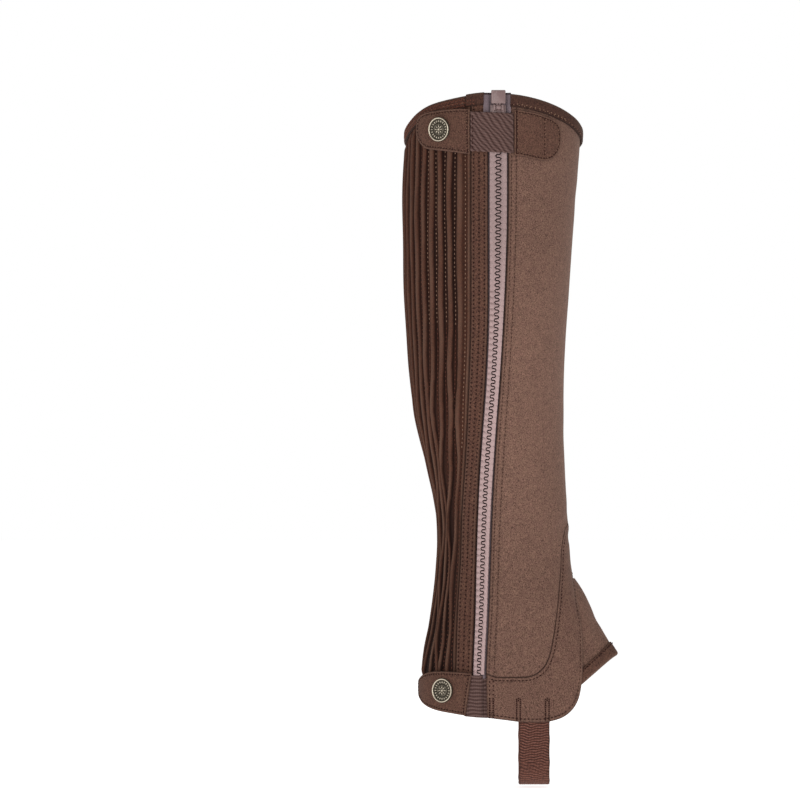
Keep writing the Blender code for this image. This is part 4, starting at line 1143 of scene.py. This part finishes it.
def elasticPiece(name, node, x, z, base, out, crease, wornOrLit):
    turn = turnAt("outer", x, z, base)
    return wallPiece(name, onLeg(turn, z, out), onLeg(turn, z, base + 0 * z), "webbing", (node,),
                     crease, wornOrLit, lined=False)


def buildUpperElastic():
    plan = upperElastic
    x, z, base, roll = elasticGrid(plan, 110, 92, plan["wave"])
    phase = (x + plan["lean"] * z) / plan["ribs"] + 0.16 * np.sin(z / 2.1 + x / 5) + 0.08 * np.sin(x / 1.3)
    rib = np.abs(np.sin(np.pi * phase))
    yarn = 0.05 * np.sin(z * 2 * np.pi / 0.9) * np.sin(x * 2 * np.pi / 0.8)
    rung = 0.5 + 0.5 * np.sin(z * 2 * np.pi / 1.7 + x * 1.1)
    # painted shade between the ribs, with a yarn pattern; the rib tops get wear and painted highlight
    crease = 0.85 * (1 - rib) ** 1.3 * (0.6 + 0.4 * rung) + 0.26 * rung
    piece = elasticPiece("upperElastic", "upper_elastic", x, z, base,
                         base + 0.85 + plan["depth"] * rib ** 0.7 + yarn + roll,
                         crease, 0.30 * rib ** 3 * (1 - 0.6 * rung))
    row = sideLine("outer", -11.4, np.linspace(62.6, 39.4, 24), 2.5)
    sewRow("stitchesTabs", row, 3.72, 2.4, 1.4, 0.28, folds=False)


def buildLowerElastic():
    plan = lowerElastic
    x, z, base, roll = elasticGrid(plan, 52, 100)
    # its end follows the slanted end of the tab and goes under it
    x = x + 0.145 * (z + 323) * np.clip((-5 - x) / 8, 0, 1)
    phase = z / plan["gather"] + 0.14 * np.sin(x / 3.9 + z / 6) + 0.10 * np.sin(x / 1.6 + z / 3.3)
    rib = 0.5 + 0.5 * np.sin(2 * np.pi * phase)
    cords = 0.5 + 0.5 * np.sin(2 * np.pi * x / 1.5)
    # painted shade between the gathers and the cords; the crests get wear and painted highlight
    piece = elasticPiece("lowerElastic", "lower_elastic", x, z, base,
                         base + 0.8 + plan["depth"] * rib + 0.10 * cords + roll,
                         0.55 * (1 - rib) ** 1.5 + 0.18 * (1 - cords), 0.30 * rib ** 2)


strapPlan = dict(back=19.8, front=40.0, thick=1.6, bottom=-384.0, flatHalf=17.0, bend=15.0, leaves=-341.0,
                 rib=1.75, flat=(0.0203, 0.182))


def buildFootStrap():
    plan = strapPlan
    hang = plan["bottom"] + plan["bend"]
    columns = np.linspace(plan["back"], plan["front"], 34)

    def side(name, top, under, thick):
        z = np.linspace(top, hang, 110)[:, None]
        level = np.maximum(z, plan["leaves"])
        depth = -under - underLay - thick
        onForm = onLeg(turnAt("inner", columns[None], level, depth), level, depth)[..., 1]
        free = np.clip((plan["leaves"] - z) / (plan["leaves"] - hang), 0, 1)
        y = onForm + (plan["flatHalf"] + plan["bend"] - thick - onForm) * free
        leg = np.stack([np.broadcast_to(columns, y.shape), y, np.broadcast_to(z, y.shape)], -1)
        angle = np.linspace(0, np.pi / 2, 26)[1:, None]
        radius = plan["bend"] - thick
        y = plan["flatHalf"] + radius * np.cos(angle) + 0 * columns
        z = hang - radius * np.sin(angle) + 0 * columns
        bend = np.stack([np.broadcast_to(columns, y.shape), y, z], -1)
        sole = np.stack(np.broadcast_arrays(columns, np.linspace(plan["flatHalf"], 0, 20)[1:, None],
                                            hang - radius), -1)
        grid = np.concatenate([leg, bend, sole])
        if name == "outer":
            grid[..., 1] *= -1
        return grid

    layers = []
    for thick in (0.0, plan["thick"]):
        outer, inner = side("outer", -320.0, wall, thick), side("inner", -314.0, wall + 1.5, thick)
        layers.append(np.concatenate([outer, inner[-2::-1]]))
    front, back = layers
    run = runLength(front[:, 16])[:, None]
    across = (columns - plan["back"])[None]
    phase = run / plan["rib"] + 0.34 * np.sin(across / 3.1 + run / 13) + 0.22 * np.sin(across / 1.3 + run / 5)
    rib = np.abs(np.sin(np.pi * phase))
    broken = 0.5 + 0.5 * np.sin(across * 2.1 + run * 1.3) * np.sin(run * 0.9 - across * 1.1)
    edge = np.minimum(across, columns[-1] - plan["back"] - across)
    normal = front - back
    normal /= np.linalg.norm(normal, axis=-1, keepdims=True)
    lift = 0.44 * rib ** 0.8 - 0.42 + 0.06 * np.sin(across * 2 * np.pi / 1.1)
    front = front + normal * (lift + rolledEdge(edge, 0.6, 0.35))[..., None]
    back = back - normal * (0.2 * rib - 0.2)[..., None]
    front[..., 0] += 0.22 * np.sin(run / 2.4)
    # painted shade between the ribs, unevenly, and along the strap's edges; the rib tops get wear and painted
    # highlight
    crease = (1.5 * (1 - rib) ** 1.1 + 0.75 * broken * (1 - rib ** 2) + 0.34 * broken ** 2
              + 0.7 * bell(edge, 0.7))
    piece = wallPiece("footStrap", front, back, "footElastic", ("foot_strap",), crease,
                      0.34 * rib ** 2 * (1 - broken), lined=False)


buildUpperElastic()
buildLowerElastic()
buildFootStrap()
print("elastics built")


# zip
zipPlan = dict(pitch=3.9, top=52.5, bottom=-310.2, tapeTop=76.9, lip=3.0)


def zipLine(z, share):
    x = smoothAt(z, zipLines, 2) * (1 - share) + smoothAt(z, zipLines, 3) * share
    return turnAt("outer", x, z)


def zipPoint(z, share=0.5):
    return onLeg(zipLine(z, share), z)


def buildZipTape():
    rows = np.concatenate([np.linspace(zipPlan["tapeTop"], 62, 30), np.linspace(61, -312.8, 190)])[:, None]
    z = rows + np.zeros(34)
    folded = rows > 63.5
    left = np.where(folded, -4.3, smoothAt(rows, zipLines, 2) + 0.03)
    right = np.where(folded, 13.9, smoothAt(rows, zipLines, 3) - 0.03)
    shares = np.linspace(0, 1, 22)
    # below the elastic the tape goes on under the placket and the front panel
    lip = zipPlan["lip"] * blendStep(60 - rows, 0, 4)
    under = np.array([1, 0.8, 0.6, 0.4, 0.2, 0])
    between = left + (right - left) * shares
    x = np.concatenate([left - lip * under, between, right + lip * under[::-1]], axis=1)
    shares = np.clip((x - left) / (right - left), 0, 1)
    # its end is folded over both above the elastic
    over = 1.75 * (blendStep(-x, -0.8, 1.0) + blendStep(x, 11.0, 12.6)) * folded
    sideBead = 0.25 * bell(shares - 0.12, 0.05) + 0.25 * bell(shares - 0.88, 0.05)
    turn = turnAt("outer", x, z)
    ribs = 0.05 * np.sin(z * 2 * np.pi / 1.6)
    deep = 1.1 * (1 - blendStep(np.minimum(x - left, right - x), 0.1, 0.75)) * blendStep(60 - rows, 0, 4)
    out = -1.15 + over + sideBead * folded + ribs - deep + foldOut(turn, z) * (1 - folded)
    # painted shade along both edges and in the middle under the teeth; above the elastic only a slight
    # darkening, and its top end dark
    crease = 0.9 * bell(x - left) + 0.7 * bell(right - x) + 1.4 * np.exp(-((shares - 0.5) / 0.24) ** 4)
    crease = np.where(rows > 63, 0.10 + 0 * x, crease) + 1.0 * (rows > 75.6)
    piece = wallPiece("zipTape", onLeg(turn, z, out), onLeg(turn, z, out - 0.75), "zipTape",
                      ("zip_tape",), crease, 0 * crease, lined=False)


# half outlines of a tooth as (across, along): the part on the tape's cord, then the head
toothRail = ((-1.0, -1.80), (-0.97, -1.93), (-0.7, -1.95), (-0.5, -1.95))
toothHead = ((-1.06, -1.75), (-0.98, -1.25), (-0.82, -0.88), (-0.45, -0.70), (0.0, -0.66), (0.42, -0.60),
             (0.68, -0.40), (0.78, 0.0))
# from its foot to its top: how far it is drawn in, its share of the length, height
toothLevels = ((0.0, 0.93, -1.0), (0.0, 0.93, 0.05), (0.05, 0.91, 0.30), (0.14, 0.87, 0.50),
               (0.30, 0.80, 0.60))


def buildZipTeeth():
    # moulded teeth: a block on the tape's cord and a rounded head between two heads of the other row
    plan = zipPlan
    outline = [(a, b, True) for a, b in toothRail] + [(a, b, False) for a, b in toothHead]
    outline += [(a, -b, onRail) for a, b, onRail in outline[-2::-1]]
    template = tubeFaces(len(toothLevels), len(outline))
    for name, node, sign, start in (("zipTeethBack", "zip_teeth_back", 1, 0.0),
                                    ("zipTeethFront", "zip_teeth_front", -1, 0.5)):
        centre = np.arange(plan["bottom"] + plan["pitch"] * start, plan["top"], plan["pitch"])
        at = zipPoint(centre)
        ahead = unit(zipPoint(centre + 1) - zipPoint(centre - 1))
        up = outward(zipLine(centre, 0.5), centre)
        side = unit(np.cross(ahead, up))
        half = (smoothAt(centre, zipLines, 3) - smoothAt(centre, zipLines, 2)) / 2 - 0.95
        reach = 0.80 + 0.14 * half
        towards = zipPoint(centre, 0.9) - at
        side *= np.sign((side * towards).sum(1))[:, None]
        rings, crease, wornOrLit = [], [], []
        for inset, shrink, out in toothLevels:
            for a, b, onRail in outline:
                place = a * half + inset * 0.9 if onRail else a * reach - inset * (0.4 if a > 0 else 0)
                along = b if onRail else b * shrink
                rings.append(at + side * (sign * place)[:, None] + ahead * along + up * out)
                # the teeth's feet get painted shade, their tops wear and painted highlight
                low = 0.5 if onRail else 1.0
                crease.append(low if out < 0.2 else 0.06)
                wornOrLit.append(0.45 if out > 0.45 else 0.1)
        rings = np.stack(rings, 1)
        faces = copiedFaces(template, rings.shape[1], len(rings))
        # painted shade darkens the teeth toward the top of the zip
        upperShade = 0.34 * blendStep(centre, -170, 10)[:, None]
        fields = {"crease": np.array(crease)[None] + upperShade, "wornOrLit": np.array(wornOrLit)[None] - upperShade}
        makePiece(name, rings.reshape(-1, 3), faces, "zipTeeth", (node,), fields=fields,
                  sharp=70)


# blocks are (across, out, up), tubes are (radius, bore, length)
sliderPlan = dict(plate=(10.4, 0.8, 15.0), plateOut=-2.9, plateUp=-5.9, cheek=(1.5, 4.2, 3.6), cheekAside=2.65,
                  rib=(1.2, 1.0, 7.6), ribAside=3.3, rod=(0.6, 0.05, 5.2))
pullPlan = dict(axisZ=67.3, axisOut=4.2, x=5.3, width=9.5, top=78.6, thick=1.5, neck=2.3, recess=(6.6, 0.5, 6.4),
                stem=(0.95, 1.3, 2.5), stemAside=0.85, eye=(1.7, 0.9, 3.0))
upward = np.array([0, 0, 1.0])


def frameAt(x, z, level=0.0):
    # the turn, the way across and the way out at one spot of the outer side
    turn = float(turnAt("outer", x, z, level))
    out = outward(np.array(turn), np.array(z))
    return turn, np.cross((0, 0, 1), out), out


def barBlock(size, middle, bevel=0.3):
    # a bevelled block as a stack of rounded outlines: x across, y out, z up
    w, t, h = (s / 2 for s in size)
    corner = min(bevel * 2.2, w, h) * 0.9
    outline = []
    for signX, signZ, first in ((1, 1, 0), (-1, 1, 90), (-1, -1, 180), (1, -1, 270)):
        for k in range(5):
            a = np.radians(first + k * 22.5)
            x, z = signX * (w - corner), signZ * (h - corner)
            outline.append((x + corner * np.cos(a), z + corner * np.sin(a)))
    outline = np.array(outline)
    rings = []
    for y, inset in ((-t, bevel), (-t + bevel * 0.3, bevel * 0.3), (-t + bevel, 0), (t - bevel, 0),
                     (t - bevel * 0.3, bevel * 0.3), (t, bevel)):
        ring = outline * (1 - inset / np.array([w, h]))
        rings.append(np.stack([ring[:, 0], np.full(len(ring), y), ring[:, 1]], -1) + np.array(middle))
    return np.concatenate(rings), tubeFaces(len(rings), len(outline))


def tubeAcross(radius, bore, length, segments=28):
    # a short tube round the x axis; its last ring joins its first through the bore
    a = np.linspace(0, 2 * np.pi, segments, endpoint=False)
    rings = []
    for r, x in ((radius - 0.12, -0.5), (radius, -0.46), (radius, 0.46), (radius - 0.12, 0.5), (bore, 0.5),
                 (bore, -0.5)):
        rings.append(np.stack([np.full(segments, x * length), r * np.cos(a), r * np.sin(a)], -1))
    last = 5 * segments
    faces = gridFaces(6, segments, wrap=True)
    faces += [[last + k, k, (k + 1) % segments, last + (k + 1) % segments] for k in range(segments)]
    return np.concatenate(rings), faces


def joined(blocks):
    points, faces, start = [], [], 0
    for block, sides in blocks:
        points.append(block)
        faces += [[i + start for i in face] for face in sides]
        start += len(block)
    return np.concatenate(points), faces


def inZipFrame(points):
    turn, across, out = frameAt(pullPlan["x"], pullPlan["axisZ"])
    hinge = onLeg(turn, pullPlan["axisZ"], pullPlan["axisOut"])
    return hinge + points[:, :1] * across + points[:, 1:2] * out + points[:, 2:] * upward


def buildSlider():
    plan = sliderPlan
    level = plan["plateOut"]
    blocks = [barBlock(plan["plate"], (0, level, plan["plateUp"]), 0.25)]
    for side in (-1, 1):
        blocks.append(barBlock(plan["cheek"], (side * plan["cheekAside"], level + 2.0, -0.1)))
        blocks.append(barBlock(plan["rib"], (side * plan["ribAside"], level + 0.7, -3.2), 0.25))
    points, faces = joined([*blocks, tubeAcross(*plan["rod"], 20)])
    # the parts standing out get wear and painted highlight, the deeper parts painted shade
    wornOrLit = np.clip((points[:, 1] - level) / 3.0, 0, 1)
    makePiece("zipSlider", inZipFrame(points), faces, "zipMetal", ("zip_slider",),
              fields={"wornOrLit": wornOrLit, "crease": np.clip(0.5 - wornOrLit, 0, 1)}, sharp=45)


def buildPull():
    plan = pullPlan
    reach = plan["top"] - plan["axisZ"]
    middle = (reach + plan["neck"]) / 2
    plate = barBlock((plan["width"], plan["thick"], reach - plan["neck"]), (0, 0, middle), 0.35)
    recess = barBlock(plan["recess"], (0, 0.62, middle + 0.1), 0.2)
    stems = [barBlock(plan["stem"], (side * plan["stemAside"], 0, 2.35), 0.2) for side in (-1, 1)]
    points, faces = joined([plate, recess, *stems, tubeAcross(*plan["eye"])])
    edge = np.abs(points[:, 0]) / (plan["width"] / 2)
    makePiece("zipPull", inZipFrame(points), faces, "zipMetal", ("zip_pull",), body="pull",
              fields={"wornOrLit": 0.3 + 0.5 * (edge > 0.9), "crease": 0.15 + 0 * edge}, sharp=45)


buildZipTape()
buildZipTeeth()
buildSlider()
buildPull()
print("zip built")


# snap caps
snapPlan = dict(
    radius=8.2, beads=20, petals=8, drawn=7.8, level=3.9, sides=144,
    rings=(0.35, 0.7, 1.1, 1.5, 1.9, 2.3, 2.7, 3.05, 3.3, 3.55, 3.9, 4.3, 4.6, 4.85, 5.1, 5.35, 5.6, 5.85,
           6.1, 6.3, 6.5, 6.68, 6.9, 7.15, 7.4, 7.6, 7.74, 7.8, 7.72, 7.5),
    profile=((0, 3.1, 3.35, 3.6, 4.4, 6.2, 6.55, 6.8, 7.1, 7.4, 7.65, 7.8),
             (1.05, 0.95, 1.25, 0.8, 0.75, 0.75, 0.95, 1.42, 1.6, 1.52, 1.25, 0.75)),
    spots=(("snapCapUpper", "snap_cap_upper", -33.5, 52.7),
           ("snapCapLower", "snap_cap_lower", -31.7, -320.9)),
)


def buildSnaps():
    plan = snapPlan
    r = np.array(plan["rings"])[:, None]
    level = np.interp(r, *plan["profile"])
    level[-2:] = ((0.2,), (-0.3,))
    sides = plan["sides"]
    angle = np.linspace(0, 2 * np.pi, sides, endpoint=False)[None]
    petal = 0.5 * bell(r - 1.9, 0.8) * (0.5 + 0.5 * np.cos(plan["petals"] * angle)) ** 1.6
    bead = 0.5 * bell(r - 5.3, 0.62) * (0.5 + 0.5 * np.cos(plan["beads"] * angle)) ** 1.6
    relief = petal + 0.55 * bell(r, 0.6) + bead
    relief[-3:] = 0.0
    height = (level + relief)[..., None]
    rim = bell(r - 7.15, 0.30)
    wornOrLit = np.clip(rim * 1.1 + relief * 1.15 + 0.25 * bell(r - 3.35, 0.2), 0, 1)
    crease = np.clip(1.1 - wornOrLit * 1.2, 0, 1)
    wide = r * plan["radius"] / plan["drawn"]
    for name, node, x, z in plan["spots"]:
        turn, across, out = frameAt(x, z, plan["level"])
        middle = onLeg(turn, z, plan["level"] + 0.3)
        rings = (middle + (wide * np.cos(angle))[..., None] * across
                 + (wide * np.sin(angle))[..., None] * upward + height * out)
        count = rings.shape[0] * sides
        points = np.vstack([rings.reshape(-1, 3), middle + out * (plan["profile"][1][0] + 0.55)])
        faces = gridFaces(rings.shape[0], sides, wrap=True)
        faces += [[count, k, (k + 1) % sides] for k in range(sides)]
        faces.append(list(range(count - sides, count)))
        fields = {"wornOrLit": np.append(wornOrLit.ravel(), 1.0), "crease": np.append(crease.ravel(), 0.0)}
        makePiece(name, points, faces, "antiqueBrass", (node,), fields=fields, sharp=80)


buildSnaps()
print("snap caps built")


# toe flap
flapPlan = dict(thick=1.8, edge=2.6, binding=7.2, flat=(0.092, 0.058), area=0.0035)


def flapRear(v):
    v = np.asarray(v, float)
    z = -247.0 - 65.0 * np.abs(v) ** 1.15
    free = np.interp(-z, (247.0, 262.0, 280.0, 295.0, 312.0), (55.5, 59.3, 61.9, 62.6, 61.6))
    tuck = np.interp(np.abs(v), (0.0, 0.25, 0.6, 1.0), (1.0, 4.5, 5.5, 8.0))
    depth = np.interp(np.abs(v), (0.0, 0.1, 0.45, 0.9), (-3.4, -4.9, -4.7, -3.0))
    turn = np.where(v < 0, turnAt("outer", free - tuck, z), turnAt("inner", free - tuck, z))
    points = onLeg(turn, z, depth)
    crotch = bell(v, 0.05)[..., None]
    return points * (1 - crotch) + np.array([54.4, 0.0, -247.0]) * crotch


def flapFront(v):
    v = np.asarray(v, float)
    end = onLeg(float(turnAt("inner", 56.5, -322.5)), -322.5, -6.2)
    share = v * v
    return np.stack([84.6 + (end[0] - 84.6) * share, end[1] * v, -296.0 + (end[2] + 296.0) * share], -1)


def flapNormal(u, v):
    def at(a, b):
        bulge = 3.0 * bell(a - 0.13, 0.34) * bell(b, 0.42)
        swell = bulge[..., None] * np.array([1.0, 0.0, 0.25])
        return flapRear(b) * (1 - a[..., None]) + flapFront(b) * a[..., None] + swell
    along = at(np.minimum(u + 0.02, 1), v) - at(np.maximum(u - 0.02, 0), v)
    side = at(u, np.minimum(v + 0.03, 1)) - at(u, np.maximum(v - 0.03, -1))
    normal = -np.cross(side, along)
    return at(u, v), normal / np.linalg.norm(normal, axis=-1, keepdims=True)


def buildFlap():
    plan = flapPlan
    v = np.linspace(-1, 1, 121)
    length = np.linalg.norm(flapFront(v) - flapRear(v), axis=-1)
    share = np.linspace(0, 1, 56)[:, None]
    u = share * (1 - plan["edge"] / length)[None]
    vs = np.broadcast_to(v[None], u.shape)
    points, normal = flapNormal(u, vs)
    ridge = 0.5 * bell(np.abs(vs) - 0.12 - 0.3 * u, 0.09) * u
    soft = 0.35 * np.sin(vs * 5 + u * 4) * u * (1 - u) * 2
    soft = soft - 0.5 * bell(u - 0.55 + 0.3 * vs, 0.09) * (1 - vs**2)
    lift = (soft + 0.4 * ridge) * np.clip(4 * u * (1.02 - u), 0, 1)
    d = (1 - share) * (length[None] - plan["edge"]) + 0 * vs
    front = points + normal * lift[..., None]
    # a slight overall darkening, painted shade near the binding, and wear and painted highlight on its ridges
    piece = wallPiece("toeFlap", front, points + normal * (lift - plan["thick"])[..., None], "suede",
                      ("toe_flap",), 0.10 + 0.35 * bell(d - 2.9, 0.5), 0.32 * ridge)


def buildFlapBinding():
    bound = np.linspace(-0.889, 0.889, 110)
    edge, n = flapNormal(np.ones_like(bound), bound)
    run = unit(flapFront(bound) - flapRear(bound))
    h = flapPlan["binding"]
    edge = edge + run * (0.9 * bell(bound, 0.30))[:, None]
    outs, along = np.array([
        (0.4, -h), (0.8, -h - 0.02), (1.1, -h + 0.3), (1.15, -h + 0.9), (1.05, -h + 1.3), (1.2, -h + 2.0),
        (1.25, -1.8), (1.15, -0.4), (0.8, 0.6), (0.1, 1.1), (-0.9, 1.25), (-1.9, 1.1), (-2.7, 0.6),
        (-3.1, -0.6), (-3.2, -2.0), (-3.0, -h + 0.3), (-2.2, -h), (-2.2, -2.0), (0.4, -2.0)]).T
    length = np.arange(len(bound))[:, None] * 1.0
    swell = (0.12 * np.sin(length / 2.4) + 0.08 * np.sin(length / 1.1)) * (outs > 0.5)
    wide = 1 + 0.22 * bell(bound, 0.36)[:, None] * (along < -1)[None]
    stations = (edge[:, None] + n[:, None] * (outs + swell)[..., None]
                + run[:, None] * (along[None] * wide)[..., None])
    # painted shade at the binding's edge on the flap and in a line beside it; its fold gets wear and painted
    # highlight
    crease = np.where(along < -h + 0.2, 0.35, 0.0) + np.where(np.abs(along + h - 1.2) < 0.3, 0.3, 0)
    wornOrLit = 0.4 * bell(along - 0.4, 0.7)
    piece = sweptPiece("toeFlapBinding", stations, "suedeDark", ("toe_flap_binding",),
                       crease + 0 * swell, wornOrLit + 0 * swell)
    back = (-h + 1.25) * wide[:, :1]
    sewThrough("stitchesToe", edge + n * 1.2 + run * back, n, 2.4, 1.4, 0.44)


buildFlap()
buildFlapBinding()
buildThreads()
print("flap and stitches built")


# stage, lights and camera
stagePlan = dict(floorZ=-0.3862, radius=14.0, tone=(0.93, 0.925, 0.92), glow=0.79)
lightPlan = {
    # name: place, aim, size, power
    "keyLight": ((-0.6, -2.9, 0.45), (0, 0, -0.16), 1.6, 25.2),
    "fillLight": ((2.1, -2.2, 0.3), (0, 0, -0.15), 2.0, 8.5),
    "backLight": ((0.6, 2.4, 1.2), (0, 0, -0.10), 1.8, 16.0),
}


def buildStage():
    plan = stagePlan
    shape = bmesh.new()
    bmesh.ops.create_circle(shape, cap_ends=True, radius=plan["radius"], segments=96)
    mesh = bpy.data.meshes.new("paleFloor")
    shape.to_mesh(mesh)
    shape.free()
    floor = linked("paleFloor", mesh)
    floor.location = (0, 0, plan["floorZ"])
    made, tree, shader = newMaterial("palePaper")
    cloudy = noise(tree, addNode(tree, "TexCoord").outputs["Object"], 3.0, 2)
    tone = plan["tone"]
    tree.links.new(mixColour(tree, ranged(tree, cloudy, 0.3, 0.7, 0, 1), tone, tuple(t * 0.99 for t in tone)),
                   shader.inputs["Base Color"])
    setInputs(shader, {"Roughness": 0.9, "Specular IOR Level": 0.1, "Emission Color": (1, 1, 1, 1),
                       "Emission Strength": plan["glow"]})
    mesh.materials.append(made)


def buildLights():
    world = bpy.data.worlds.new("paleStudio")
    bpy.context.scene.world = world
    world.use_nodes = True
    tree = world.node_tree
    sky, seen = tree.nodes["Background"], addNode(tree, "Background")
    setInputs(sky, {"Color": (1.0, 0.995, 0.99, 1), "Strength": 0.27})
    setInputs(seen, {"Color": (1, 1, 1, 1), "Strength": 1.0})
    mix = addNode(tree, "MixShader")
    sources = (addNode(tree, "LightPath").outputs["Is Camera Ray"], sky.outputs[0], seen.outputs[0])
    for source, socket in zip(sources, mix.inputs):
        tree.links.new(source, socket)
    tree.links.new(mix.outputs[0], tree.nodes["World Output"].inputs["Surface"])
    for name, (spot, aim, size, power) in lightPlan.items():
        data = bpy.data.lights.new(name, "AREA")
        data.size = size
        data.energy = power
        lamp = linked(name, data)
        lamp.location = spot
        lamp.rotation_euler = (Vector(aim) - Vector(spot)).to_track_quat("-Z", "Y").to_euler()
        lamp.visible_camera = False


cameraPlan = dict(distance=8.0, centre=(-0.0597, -0.1273), frameWidth=0.5333, faceDepth=0.03)


def buildCamera():
    plan = cameraPlan
    data = bpy.data.cameras.new("photoCamera")
    data.sensor_width = 36
    data.lens = 36 * (plan["distance"] - plan["faceDepth"]) / plan["frameWidth"]
    data.clip_end = 100
    camera = linked("photoCamera", data)
    camera.location = (plan["centre"][0], -plan["distance"], plan["centre"][1])
    camera.rotation_euler = (np.pi / 2, 0, 0)
    bpy.context.scene.camera = camera

buildStage()
buildLights()
buildCamera()
bpy.context.scene.view_settings.view_transform = "Standard"
print("stage, lights and camera ready")
